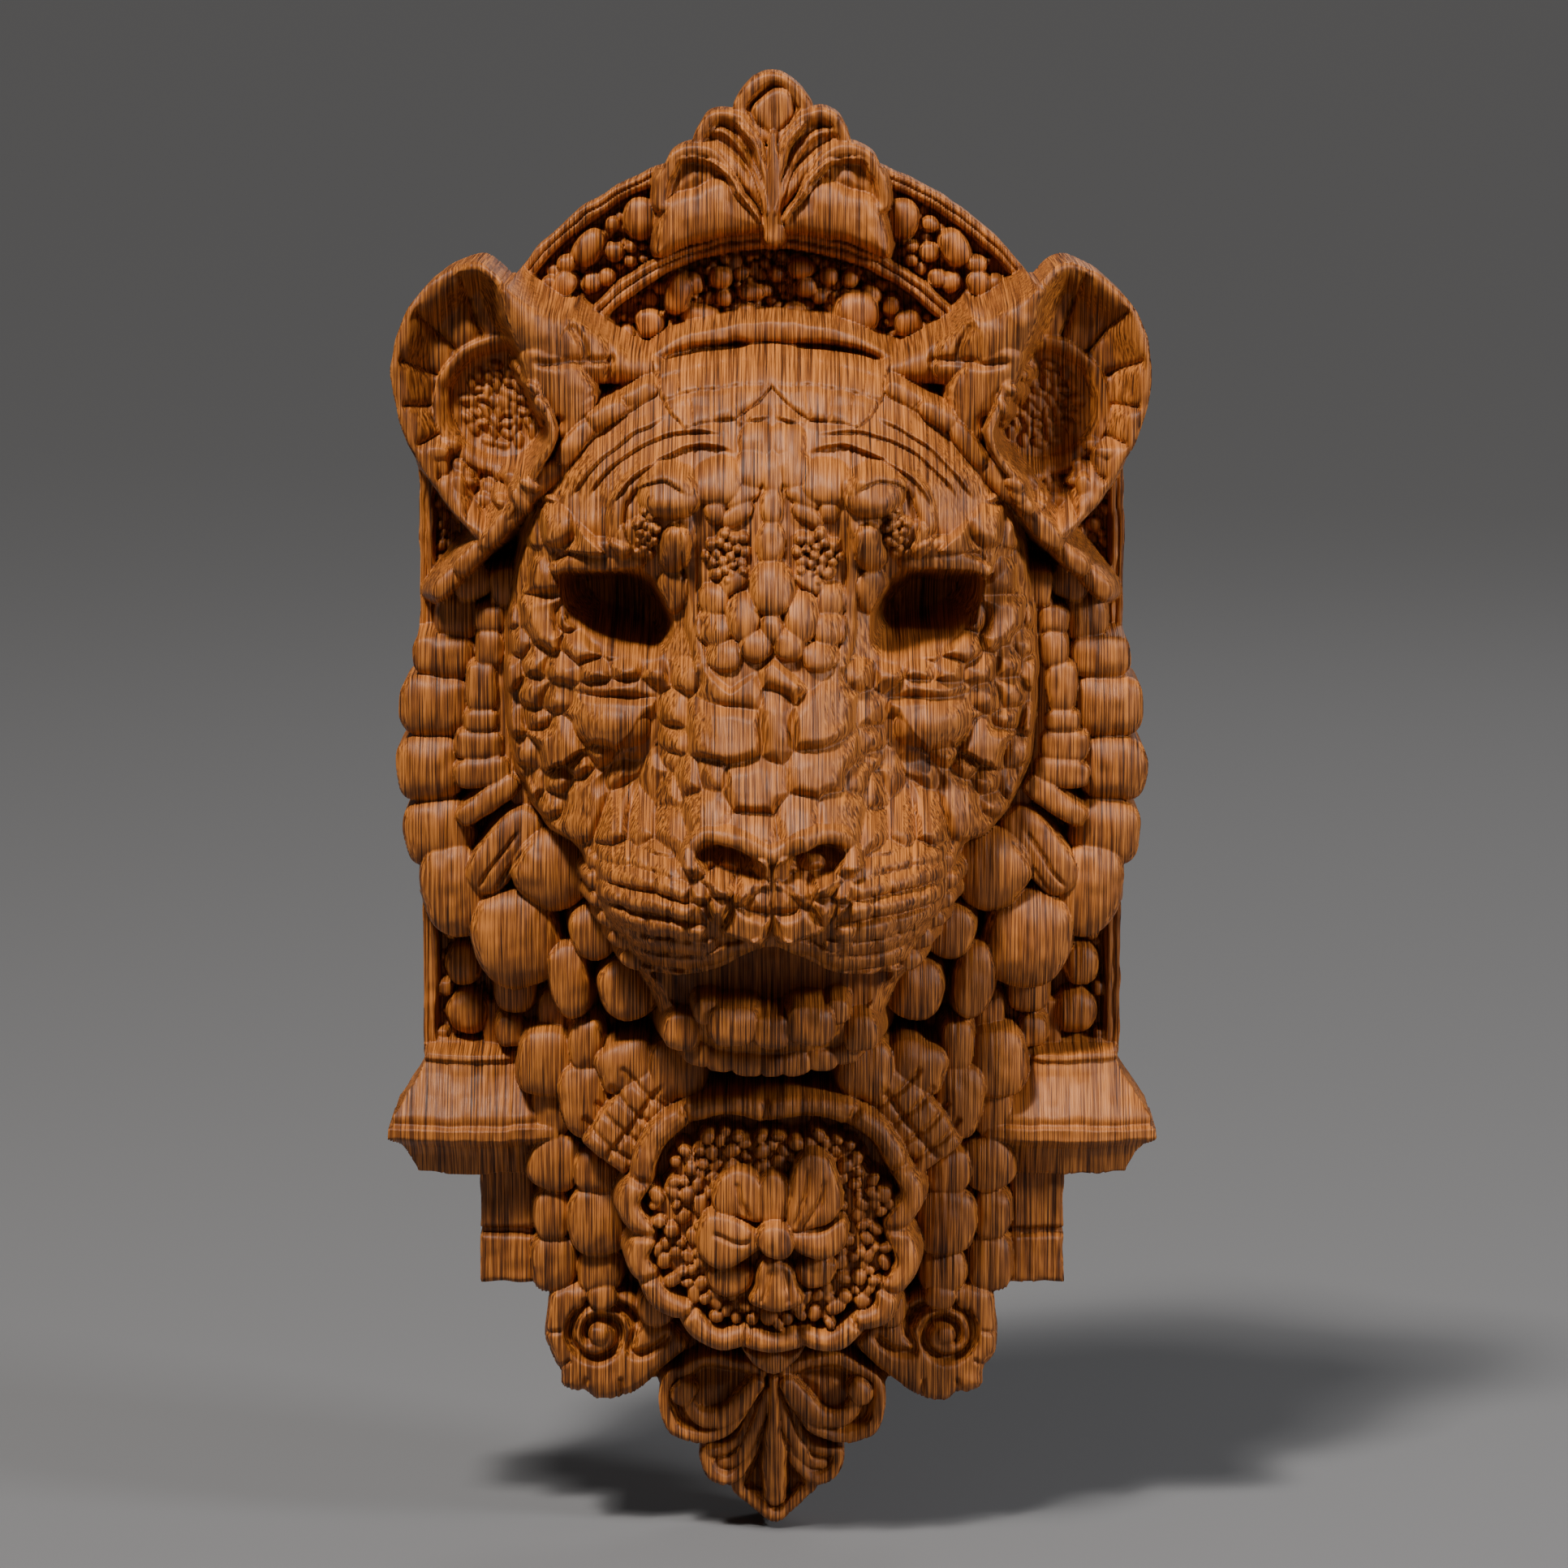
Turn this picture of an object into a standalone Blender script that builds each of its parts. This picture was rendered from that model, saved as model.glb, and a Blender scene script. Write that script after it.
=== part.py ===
"""Tiger head relief carving: a wall carving cut from one block of wood.

Sizes are millimetres and become metres where points are made. +Z is up, the wall is the plane
y = 0 and the carving faces -Y. A reach is a distance out from the wall, an x is a distance from
the middle line and a z is a height above the middle of the carving. The free carving, which is
the tables from the face down, is drawn in parts of the carving's height.
"""
import itertools
import math

import bmesh
import bpy
import numpy as np
from mathutils import Matrix, Vector

MM = 0.001
NODE = "tiger_head_relief"

# The whole carving, and the part of its height that the free carving is drawn in
CARVING_HEIGHT = 600.0
PARTS_IN_HEIGHT = 600.0
PART = CARVING_HEIGHT / PARTS_IN_HEIGHT

# Board behind the carving
BOARD_WIDTH = 287.0
BOARD_REACH = 22.0
SUNK_REACH = 14.0
SHOULDER_Z = 150.0
BOARD_FOOT_Z = -106.0
ARC_STEPS = 40

# Two arches of the top
ARCH_RADIUS = 131.0
ARCH_Z = 134.5
ARCH_BAND = 6.5
INNER_ARCH_RADIUS = 102.0
INNER_ARCH_Z = 129.6
INNER_ARCH_BAND = 6.5
INNER_ARCH_REACH = 30.0
INNER_ARCH_START = 12.0
INNER_ARCH_EDGE = 1.5
SUNK_ARCH_FOOT_Z = 145.0

# Sunk panels of the side strips
EDGE_STRIP = 5.5
PANEL_WIDTH = 26.0
PANEL_TOP_Z = 130.0
PANEL_FOOT_Z = -101.0
INNER_STRIP = 7.5
INNER_STRIP_REACH = 27.0
INNER_STRIP_TOP_Z = 0.0

# Beads in each side panel: x from the panel's middle, height above its foot, half width, half
# height, turn in degrees, rise above the sunk ground
PANEL_BEADS = ((2, 31, 7.5, 9, 0, 13), (0.5, 11, 9, 9.5, 0, 13), (7, 201, 5, 18, 0, 11))

# Pebbles inside the arches: angle from the right in degrees, distance in from the arch, half
# width, half height, turn in degrees, rise above the sunk ground; the outer ones come in pairs
ARCH_PEBBLES = (
    (61.5, 15.6, 7, 8.5, -35, 12), (49.3, 14.3, 6, 8.5, -35, 12), (40.2, 17.1, 5.5, 7, -35, 11),
    (54.4, 24.6, 5, 5, 0, 9),
)
CROWN_PEBBLES = (
    (127.4, 19.7, 6, 7, 0, 13), (116.1, 18.0, 6, 8, 0, 13), (110.1, 29.1, 8, 6, 0, 13),
    (63.9, 24.7, 9.5, 9.5, 0, 17), (82.6, 11.8, 5, 6, 0, 11), (96.0, 25.2, 6, 6, 0, 11),
    (50.0, 18.0, 6.5, 6, 0, 12), (76.7, 23.5, 5, 5, 0, 11), (98.9, 11.5, 5, 5, 0, 11),
)

# Capitals and the posts below them
CAPITAL_INSET = 21.1
CAPITAL_X = BOARD_WIDTH / 2 - CAPITAL_INSET
CAPITAL_TOP_Z = -104.0
CAPITAL_HEIGHT = 50.0
CAPITAL_HALF_WIDTH = 34.6
CAPITAL_REACH = 53.0
CAPITAL_BOW = 6.0
CAPITAL_STEPS = 6
POST_WIDTH = 21.8
POST_INSET = 13.0
POST_REACH = 32.0
POST_FOOT_Z = -201.0
POST_GROOVE_Z = -180.0
POST_GROOVE = 3.0
POST_GROOVE_DEPTH = 4.0
POST_EDGE = 2.0

# Sections of a capital from its neck to its underside, as shares of its height, half width and reach
CAPITAL_SECTIONS = (
    (0.0, 0.56, 0.72), (0.06, 0.56, 0.74), (0.22, 0.68, 0.80), (0.5, 0.95, 0.93), (0.58, 1.0, 1.0),
    (0.7, 1.0, 1.0), (0.78, 0.88, 0.92), (0.9, 0.7, 0.82), (1.0, 0.65, 0.78),
)

# Backing of the lower carving, and how deep every raised piece is rooted in what carries it
BACKING_REACH = 24.0
ROOT_REACH = SUNK_REACH * 0.6
ROOT_SPREAD = SUNK_REACH * 0.3
BEHIND_WALL = -1.0
GOLDEN = 0.618034

# Grid that the face is pushed out of, and how far the face may stray from its sections
HEAD_CELL = 7.4
FACE_SMOOTH = 0.4
SHEET_UNIT = 10.0
TINY = 1e-9

# Rosette
ROSETTE_Z = -170.0
ROSETTE_HALF_WIDTH = 57.0
ROSETTE_HALF_HEIGHT = 52.0
ROSETTE_LOBES = 9
ROSETTE_SCALLOP = 4.5
ROSETTE_LOBE_POWER = 0.6
ROSETTE_BORDER = 7.0
ROSETTE_REACH = 76.0
ROSETTE_FLOOR = 62.0
ROSETTE_STEPS = 54

# Volutes
VOLUTE_X = 71.5
VOLUTE_Z = -221.0
VOLUTE_RADIUS = 19.0
VOLUTE_REACH = 44.0
VOLUTE_GROUND = 36.0
VOLUTE_RIDGE = 4.6
VOLUTE_RIDGE_TAPER = 0.3
VOLUTE_DOME = 3.0
VOLUTE_TURNS = 1.6
VOLUTE_START_TURN = 0.05
VOLUTE_STEPS = 26

# Bosses are rounded lumps: their outline has this many sides, and their dome starts this share
# of their half width below the top
BOSS_SIDES = 8
LEAF_SIDES = 14
BOSS_DOME = 0.7
BOSS_SHOULDER = 0.72
BOSS_SHOULDER_DROP = 0.3
FACE_BOSS_DOME = 1.4

# Points closer than the weld are one point, and bends under the straight angle are no corner
WELD = 0.01
STRAIGHT = math.radians(1)

# Cross sections of the face: height, then pairs of distance from the middle line and reach
FACE_SECTIONS = (
    (192, ((0, 66), (25, 66), (50, 64))),
    (174, ((0, 86), (28, 84), (58, 74), (80, 66))),
    (152, ((0, 95), (30, 92), (62, 83), (90, 70))),
    (130, ((0, 104), (20, 104), (40, 101), (64, 92), (90, 76))),
    (108, ((0, 110), (17, 106), (38, 99), (62, 92), (84, 82), (102, 64))),
    (86, ((0, 116), (20, 110), (36, 97), (60, 84), (88, 74), (106, 61))),
    (64, ((0, 121), (24, 116), (38, 99), (62, 89), (86, 77), (108, 60))),
    (36, ((0, 128), (28, 122), (41, 101), (62, 91), (86, 75), (107, 60))),
    (10, ((0, 136), (30, 128), (45, 104), (68, 87), (98, 62))),
    (-6, ((0, 146), (24, 142), (36, 128), (56, 108), (78, 80))),
    (-28, ((0, 140), (22, 138), (44, 127), (62, 112), (76, 94))),
    (-48, ((0, 130), (28, 128), (50, 113), (60, 98))),
    (-64, ((0, 108), (30, 106), (48, 94))),
    (-82, ((0, 119), (24, 115), (42, 99))),
    (-98, ((0, 108), (20, 103), (40, 92))),
)

# Right half of the head's outline from the crown to the chin
HEAD_OUTLINE = (
    (0, 193), (16, 193), (48, 182), (74, 159), (86, 141), (98, 121), (104, 98), (108, 70),
    (108, 46), (106, 22), (100, 7), (90, -8), (76, -19), (66, -32), (58, -51), (46, -68),
    (44, -82), (34, -93), (20, -98), (0, -100),
)

# Right eye socket and nostril: x, z, half width, half height, turn in degrees, reach of the floor
EYE_SOCKET = (62.5, 84, 22, 14, 12, 66)
NOSTRIL = (18.5, -16, 10, 5.5, 25, 132)

# Right half of the mouth opening between the upper lip and the chin
MOUTH_OUTLINE = (
    (0, -47), (10, -50), (20, -57), (34, -60), (48, -59), (44, -70), (30, -71), (0, -71),
)

MOUTH_FLOOR = 92

# Right half of the nose leather
NOSE_REACH = 149
NOSE_OUTLINE = (
    (0, -7), (13, -2), (24, 1), (31, -3), (33, -9), (25, -17), (12, -26), (0, -31),
)

# Right ear's outline, from the top of its rim round the outer edge and back along the head
EAR_OUTLINE = (
    (118, 220), (132, 215), (145, 203), (151, 186), (151, 170), (148, 154), (142, 140),
    (132, 126), (119, 112), (110, 113), (98, 132), (86, 153), (91, 168), (98, 187), (106, 211),
)
EAR_CUP = (108, 163)
EAR_RIM_REACH = 86
EAR_EDGE_REACH = 57
EAR_CUP_REACH = 40
EAR_RIM = 0.88
EAR_RING = 0.42
EAR_LEAN = 1.6
EAR_FLANK_DOME = 8
EAR_CENTRE = (108, 163, 10, 10, 0, 45)
EAR_FLANK = (
    (106, 213), (97, 187), (90, 166), (84, 150), (72, 160), (58, 174), (68, 188), (86, 204),
)

# Right half of the backing's outline below the board
BACKING_OUTLINE = (
    (0, -84), (119, -84), (119, -157), (102, -157), (102, -196), (90, -206), (88, -222),
    (80, -238), (62, -245), (44, -243), (32, -262), (24, -274), (13, -288), (0, -298),
)

# Right half of the mane's ground, which carries its bosses out past the board's edge
MANE_GROUND_REACH = 32
MANE_GROUND = (
    (100, 92), (116, 92), (134, 82), (144, 62), (148, 40), (149, 14), (146, -12), (139, -36),
    (120, -66), (98, -98), (98, -146), (60, -146), (60, -60), (96, 0),
)

# Rows of bosses on the right half: x, z, half width, half height, turn in degrees, reach
FRINGE = (
    (127.5, 76.5, 9, 9, 10, 46), (134, 60, 11.5, 8.5, 8, 48), (137.5, 40, 13.5, 12.4, 4, 50),
    (139.5, 14.5, 13, 12.8, 0, 51), (136.5, -11.5, 13, 13.5, -8, 51),
    (129.6, -36, 13, 17.5, -25, 51), (105.5, -56, 15.5, 21, -38, 55),
)
INNER_RING = (
    (113.5, 76, 5.5, 6, 0, 52), (114.5, 63, 5, 7, 0, 53), (117.5, 48, 6, 9, 0, 54),
    (118.5, 35, 7, 5.5, 0, 54), (118.5, 25, 9, 6, 0, 54), (117.5, 13.5, 10, 6.5, -6, 55),
    (115, 2, 12, 8, -18, 56), (109, -17, 13, 19, -42, 58), (91, -27, 13, 19, -42, 63),
)
HANGING_SCALES = (
    (74, -50, 9, 11, -20, 66), (83, -70, 8, 13.5, -5, 62), (59, -74, 11, 12, -20, 68),
    (92.5, -105, 11, 13.5, 10, 55), (76, -98, 7, 9, 0, 60), (76, -121, 10, 15, -12, 60),
    (88, -149, 10.5, 11.5, 0, 50), (71, -151, 10, 9, 0, 54), (58.5, -105, 12, 9.5, -20, 66),
    (37, -106, 11.5, 11.5, 0, 72), (91, -127, 9, 10, 0, 48), (100, -88, 8, 10, 0, 46),
)
SIDE_BEADS = (
    (91, -171, 7, 9.5, 0, 45), (71, -173, 12, 14, 0, 52), (90, -191, 9, 11.5, 0, 43),
    (71, -194, 8.5, 8, 0, 46),
)
PLATE_DOME = 5
STRAP_REACH = 67
STRAP_OUTLINE = ((76, -140), (57, -149), (37, -121), (47, -104), (58, -112))

# Beads of the raised cord from the crown down below each ear
CORD_PATH = ((50, 175), (73, 158), (84, 142), (97, 129), (115, 109), (126, 97), (137, 86))
CORD_REACHES = (82, 80, 74, 68, 60, 55, 50)
CORD_HALF_WIDTH = 4.2
CORD_OVERLAP = 1.15

# Rows of plates down the bridge of the nose
BRIDGE_TOP_Z = 66
BRIDGE_FOOT_Z = 2
BRIDGE_ROWS = 4
BRIDGE_HALF_SPAN = 32.5
BRIDGE_RISE = 4
BRIDGE_FILL = 0.92

# Plates and beads of the face: x, z, half width, half height, turn, rise above the face
BROW_PLATES = ((39, 133, 10, 12, 12, 5), (21, 137, 9, 8, 0, 5), (8, 142, 5, 9, 0, 4))
LID_PLATES = ((69, 104, 17, 5, -16, 6), (41, 103, 6, 14, 4, 4), (86, 101, 9, 6, -20, 4))
ROOT_BEADS = ((0, 127, 5, 7, 0, 4), (0, 113, 5.5, 9, 0, 4), (0, 96, 9, 10, 0, 5))
CHEEK_PLATES = ((62, 38, 12, 11, -20, 4), (82, 29, 8, 8, -20, 3), (77, 12, 9, 14, -45, 3))
CHIN_BEADS = ((33, -79, 10.5, 8.5, 10, 7), (16, -79, 8.5, 8.5, 0, 7), (0, -78, 8.5, 8.5, 0, 7))

# Flower of the rosette: x, z from its centre, half width, half height, turn, reach
FLOWER = (
    (-17.5, -3, 12, 10.5, 0, 85), (17.5, -3, 12, 10.5, 0, 85), (-13.5, 16, 10, 10, 35, 84),
    (2, 14, 7, 9, 0, 85), (16, 17, 10, 14, -20, 84), (1, -22, 11, 11, 0, 84),
    (0, -2, 8, 8, 0, 90),
)
FLOWER_RING = 18
FLOWER_RING_INSET = 16.5
FLOWER_BEAD = 4.0
FLOWER_BEAD_REACH = 69.0

# Leaves of the top palmette and of the pendant: x, z, half width, half height, turn, reach
TOP_LEAVES = (
    (0, 280, 15.5, 17, 0, 34), (0, 264, 10, 30, 0, 42), (20, 262, 12, 21, -22, 40),
    (35, 250, 12, 18, -42, 38), (29, 235, 22, 12.5, 12, 37),
)
PENDANT_LEAVES = (
    (0, -287, 14, 17, 0, 30), (0, -272, 8, 31, 0, 38), (14, -262, 9, 24, 24, 36),
    (23, -275, 9, 12, 30, 33), (36, -257, 12, 15, 20, 36), (27, -246, 12, 8, -20, 38),
)
ROSETTE_LIP = ((0, -225, 13, 9, 0, 69),)
VOLUTE_LOBES = (
    (85, -212, 9, 10, 0, 37), (84, -231, 8, 10, 25, 36), (76, -241, 8, 8, 30, 35),
    (62, -240, 10, 9, 0, 36), (50, -233, 14, 12, 35, 36), (58, -208, 14, 9, -20, 38),
)

# Wood
WOOD_COLOUR = (0.42, 0.17, 0.055, 1.0)
WOOD_ROUGHNESS = 0.42

# Reach beyond every surface, for cutters
CLEAR_REACH = 190.0

# Facets kept once the carving is one solid, and how near the wall a point belongs to the back
FACETS = 9800
BACK_SNAP = 0.5


PIECE_COUNT = itertools.count(1)


def buried(depth):
    """A depth of its own for each piece, so that no two hidden faces lie in one plane."""
    return depth - ROOT_SPREAD * (next(PIECE_COUNT) * GOLDEN % 1.0)


def clear_scene():
    for item in list(bpy.data.objects):
        bpy.data.objects.remove(item)


def new_collection(name):
    group = bpy.data.collections.new(name)
    bpy.context.scene.collection.children.link(group)
    return group


def point(x, reach, z):
    return Vector((x, -reach, z)) * MM


def add_object(name, mesh, group):
    item = bpy.data.objects.new(name, mesh)
    group.objects.link(item)
    item.hide_render = True
    item.display_type = "WIRE"
    return item


def from_bmesh(name, bm, group):
    bmesh.ops.recalc_face_normals(bm, faces=bm.faces)
    mesh = bpy.data.meshes.new(name)
    bm.to_mesh(mesh)
    bm.free()
    return add_object(name, mesh, group)


def mirrored(half):
    """Close the right half of an outline, which starts and ends on the middle line."""
    inner = [(-x, z) for x, z in reversed(half) if x > 0]
    return list(half) + inner


def flipped(outline, side):
    return [(side * x, z) for x, z in outline]


def rectangle(low_x, high_x, low_z, high_z):
    return [(low_x, low_z), (high_x, low_z), (high_x, high_z), (low_x, high_z)]


def arc(radius, centre_z, start, end, steps, centre_x=0.0):
    """Points on a circle in the wall plane, from one angle to another in degrees."""
    angles = [math.radians(start + (end - start) * i / steps) for i in range(steps + 1)]
    return [(centre_x + radius * math.cos(a), centre_z + radius * math.sin(a)) for a in angles]


def slab(name, outline, back, front, group, edge=0.0):
    """A flat outline on the wall plane, given a thickness and, if asked, rounded edges."""
    curve = bpy.data.curves.new(name + "_outline", "CURVE")
    curve.dimensions = "2D"
    curve.fill_mode = "BOTH"
    curve.extrude = (front - back) / 2 * MM
    spline = curve.splines.new("POLY")
    spline.points.add(len(outline) - 1)
    for corner, (x, z) in zip(spline.points, outline):
        corner.co = (x * MM, z * MM, 0, 1)
    spline.use_cyclic_u = True
    drawn = bpy.data.objects.new(name + "_outline", curve)
    group.objects.link(drawn)
    drawn.rotation_euler = (math.radians(90), 0, 0)
    drawn.location = point(0, (back + front) / 2, 0)
    bpy.context.view_layer.update()
    mesh = bpy.data.meshes.new_from_object(drawn.evaluated_get(bpy.context.evaluated_depsgraph_get()))
    bm = bmesh.new()
    bm.from_mesh(mesh)
    bmesh.ops.remove_doubles(bm, verts=bm.verts, dist=WELD * MM)
    bmesh.ops.dissolve_limit(bm, angle_limit=STRAIGHT, verts=bm.verts, edges=bm.edges)
    bm.to_mesh(mesh)
    bm.free()
    solid = add_object(name, mesh, group)
    solid.matrix_world = drawn.matrix_world
    bpy.data.objects.remove(drawn)
    if edge:
        rounding = solid.modifiers.new("rounded_edges", "BEVEL")
        rounding.width = edge * MM
        rounding.segments = 2
    return solid


def raised(name, outline, reach, dome, group):
    """A carved lump: its outline rises straight from its root and domes over to the reach."""
    bm = bmesh.new()
    root = buried(ROOT_REACH)
    top = bm.faces.new([bm.verts.new(point(x, root, z)) for x, z in outline])
    centre = top.calc_center_median()
    levels = ((reach - dome, 1.0), (reach - dome * BOSS_SHOULDER_DROP, BOSS_SHOULDER))
    for index, (level, share) in enumerate(levels):
        below = top
        grown = bmesh.ops.extrude_face_region(bm, geom=[below])
        top = next(part for part in grown["geom"] if isinstance(part, bmesh.types.BMFace))
        if index:
            bmesh.ops.delete(bm, geom=[below], context="FACES_ONLY")
        for corner in top.verts:
            corner.co.x = centre.x + (corner.co.x - centre.x) * share
            corner.co.z = centre.z + (corner.co.z - centre.z) * share
            corner.co.y = -level * MM
    peak = bmesh.ops.poke(bm, faces=[top])["verts"][0]
    peak.co.y = -reach * MM
    return from_bmesh(name, bm, group)


def oval(x, z, half_width, half_height, turn, sides=BOSS_SIDES):
    """Corners of a turned oval whose flats, not its corners, lie on the half sizes."""
    outline = []
    swell = 1 / math.cos(math.pi / sides)
    for index in range(sides):
        angle = 2 * math.pi * (index + 0.5) / sides
        across = half_width * swell * math.cos(angle)
        up = half_height * swell * math.sin(angle)
        lean = math.radians(turn)
        outline.append((x + across * math.cos(lean) - up * math.sin(lean),
                        z + across * math.sin(lean) + up * math.cos(lean)))
    return outline


def boss(name, x, z, half_width, half_height, turn, reach, group, sides=BOSS_SIDES):
    dome = BOSS_DOME * min(half_width, half_height)
    return raised(name, oval(x, z, half_width, half_height, turn, sides), reach, dome, group)


def sized(row):
    """A table row in millimetres: its last two columns are a turn and a reach or a rise."""
    return [value * PART for value in row[:-2]] + [row[-2], row[-1] * PART]


def drawn(outline):
    """A table outline in millimetres."""
    return [(x * PART, z * PART) for x, z in outline]


def boss_pairs(name, rows, group, sides=BOSS_SIDES):
    """Bosses from a table, and the mirror image of those off the middle line."""
    for index, (x, z, half_width, half_height, turn, reach) in enumerate(map(sized, rows)):
        for side in (1, -1) if x else (1,):
            boss(f"{name}_{index}_{side}", side * x, z, half_width, half_height, side * turn,
                 reach, group, sides)


def combine(base, group, operation):
    """Join a collection's solids to the base, or cut them from it, and drop them."""
    change = base.modifiers.new(group.name, "BOOLEAN")
    change.operand_type = "COLLECTION"
    change.collection = group
    change.operation = operation
    change.solver = "EXACT"
    bpy.context.view_layer.update()
    result = base.evaluated_get(bpy.context.evaluated_depsgraph_get())
    mesh = bpy.data.meshes.new_from_object(result)
    mesh.transform(base.matrix_world)
    base.modifiers.clear()
    base.matrix_world = Matrix.Identity(4)
    base.data = mesh
    for item in list(group.objects):
        bpy.data.objects.remove(item)
    bpy.data.collections.remove(group)


def thin_facets(item):
    """Drop the small facets that the joins leave, down to the facet count, with the back flat."""
    item.data.calc_loop_triangles()
    thinning = item.modifiers.new("thinning", "DECIMATE")
    thinning.ratio = min(1.0, FACETS / len(item.data.loop_triangles))
    bpy.context.view_layer.update()
    result = item.evaluated_get(bpy.context.evaluated_depsgraph_get())
    item.data = bpy.data.meshes.new_from_object(result)
    item.modifiers.clear()
    for corner in item.data.vertices:
        if corner.co.y > -BACK_SNAP * MM:
            corner.co.y = 0


def fit_face():
    """Weights of the smooth sheet that runs through the face's cross sections."""
    rows = [(x * PART, z * PART, reach * PART) for z, pairs in FACE_SECTIONS for x, reach in pairs]
    rows += [(-x, z, reach) for x, z, reach in rows if x]
    places = np.array([row[:2] for row in rows], dtype=float)
    reaches = np.array([row[2] for row in rows], dtype=float)
    count = len(rows)
    system = np.zeros((count + 3, count + 3))
    system[:count, :count] = sheet_kernel(places, places) + FACE_SMOOTH * np.eye(count)
    system[:count, count] = 1
    system[:count, count + 1:] = places
    system[count:, :count] = system[:count, count:].T
    weights = np.linalg.solve(system, np.concatenate([reaches, np.zeros(3)]))
    return places, weights


def sheet_kernel(a, b):
    squared = ((a[:, None, :] - b[None, :, :]) ** 2).sum(axis=2) / SHEET_UNIT ** 2
    return squared * np.log(squared + TINY)


def face_reach(sheet, x, z):
    places, weights = sheet
    at = np.array([[x, z]], dtype=float)
    bend = sheet_kernel(at, places) @ weights[:-3]
    return float(bend[0] + weights[-3] + at[0] @ weights[-2:])


def head_block(sheet, group):
    """The head as one block: a grid pushed out to the face, trimmed to the head's outline."""
    outline = mirrored(drawn(HEAD_OUTLINE))
    half_width = max(x for x, z in outline) + HEAD_CELL
    low = min(z for x, z in outline) - HEAD_CELL
    high = max(z for x, z in outline) + HEAD_CELL
    columns = round(2 * half_width / HEAD_CELL)
    rows = round((high - low) / HEAD_CELL)
    bm = bmesh.new()
    bmesh.ops.create_grid(bm, x_segments=columns, y_segments=rows, size=1.0)
    for corner in bm.verts:
        x = corner.co.x * half_width
        z = low + (corner.co.y + 1) / 2 * (high - low)
        corner.co = point(x, face_reach(sheet, x, z), z)
    root = buried(ROOT_REACH)
    grown = bmesh.ops.extrude_face_region(bm, geom=bm.faces[:])
    for part in grown["geom"]:
        if isinstance(part, bmesh.types.BMVert):
            part.co.y = -root * MM
    bmesh.ops.triangulate(bm, faces=bm.faces)
    head = from_bmesh("head", bm, group)
    trim = new_collection("head_trim")
    slab("head_outline", outline, 0, CLEAR_REACH, trim)
    combine(head, trim, "INTERSECT")
    return head


def face_bosses(sheet, name, rows, group):
    """Bosses that rise a little above the face wherever they sit."""
    for index, (x, z, half_width, half_height, turn, rise) in enumerate(map(sized, rows)):
        reach = face_reach(sheet, x, z) + rise
        for side in (1, -1) if x else (1,):
            outline = oval(side * x, z, half_width, half_height, side * turn)
            raised(f"{name}_{index}_{side}", outline, reach, FACE_BOSS_DOME * rise, group)


def nose_bridge(sheet, group):
    """Rows of plates down the bridge of the nose, wider towards the nose."""
    row_height = (BRIDGE_TOP_Z - BRIDGE_FOOT_Z) / BRIDGE_ROWS
    for row in range(BRIDGE_ROWS):
        z = BRIDGE_TOP_Z - row_height * (row + 0.5)
        count = 2 + row % 2
        for column in range(count):
            x = BRIDGE_HALF_SPAN * (2 * (column + 0.5) / count - 1)
            half_width = BRIDGE_HALF_SPAN / count * BRIDGE_FILL
            half_height = row_height / 2 * BRIDGE_FILL
            plate = sized((x, z, half_width, half_height, 0, BRIDGE_RISE))
            reach = face_reach(sheet, plate[0], plate[1]) + plate[5]
            raised(f"bridge_{row}_{column}", oval(*plate[:5]), reach, plate[5], group)


def ear(side, group):
    """An ear: a rim that leans back to its outer edge, round a cup."""
    outline = drawn(EAR_OUTLINE)
    head_x = min(x for x, z in outline)
    edge_x = max(x for x, z in outline)
    cup_x, cup_z = (value * PART for value in EAR_CUP)
    rim_reach = EAR_RIM_REACH * PART
    edge_reach = EAR_EDGE_REACH * PART
    cup_reach = EAR_CUP_REACH * PART
    bm = bmesh.new()
    root = buried(ROOT_REACH)
    rings = []
    levels = ((1.0, None), (1.0, 0.0), (EAR_RIM, 0.0), (EAR_RING, 1.0))
    for share, depth in levels:
        ring = []
        for x, z in outline:
            lean = min(1.0, (x - head_x) / (edge_x - head_x) * EAR_LEAN)
            rim = rim_reach + (edge_reach - rim_reach) * lean
            reach = root if depth is None else rim + (cup_reach - rim) * depth
            ring_x = cup_x + (x - cup_x) * share
            ring_z = cup_z + (z - cup_z) * share
            ring.append(bm.verts.new(point(side * ring_x, reach, ring_z)))
        rings.append(ring)
    bm.faces.new(rings[0])
    for lower, upper in zip(rings, rings[1:]):
        for index in range(len(lower)):
            after = (index + 1) % len(lower)
            bm.faces.new((lower[index], lower[after], upper[after], upper[index]))
    bm.faces.new(rings[-1])
    bmesh.ops.triangulate(bm, faces=bm.faces)
    from_bmesh(f"ear_{side}", bm, group)
    outline = flipped(drawn(EAR_FLANK), side)
    raised(f"ear_flank_{side}", outline, rim_reach, EAR_FLANK_DOME * PART, group)


def cord_beads(group):
    """Long beads end to end along the cord's path."""
    beads = []
    for index, ((x0, z0), (x1, z1)) in enumerate(zip(CORD_PATH, CORD_PATH[1:])):
        turn = math.degrees(math.atan2(z1 - z0, x1 - x0))
        half_length = math.hypot(x1 - x0, z1 - z0) / 2 * CORD_OVERLAP
        reach = (CORD_REACHES[index] + CORD_REACHES[index + 1]) / 2
        beads.append(((x0 + x1) / 2, (z0 + z1) / 2, half_length, CORD_HALF_WIDTH, turn, reach))
    boss_pairs("cord", beads, group)


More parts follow.
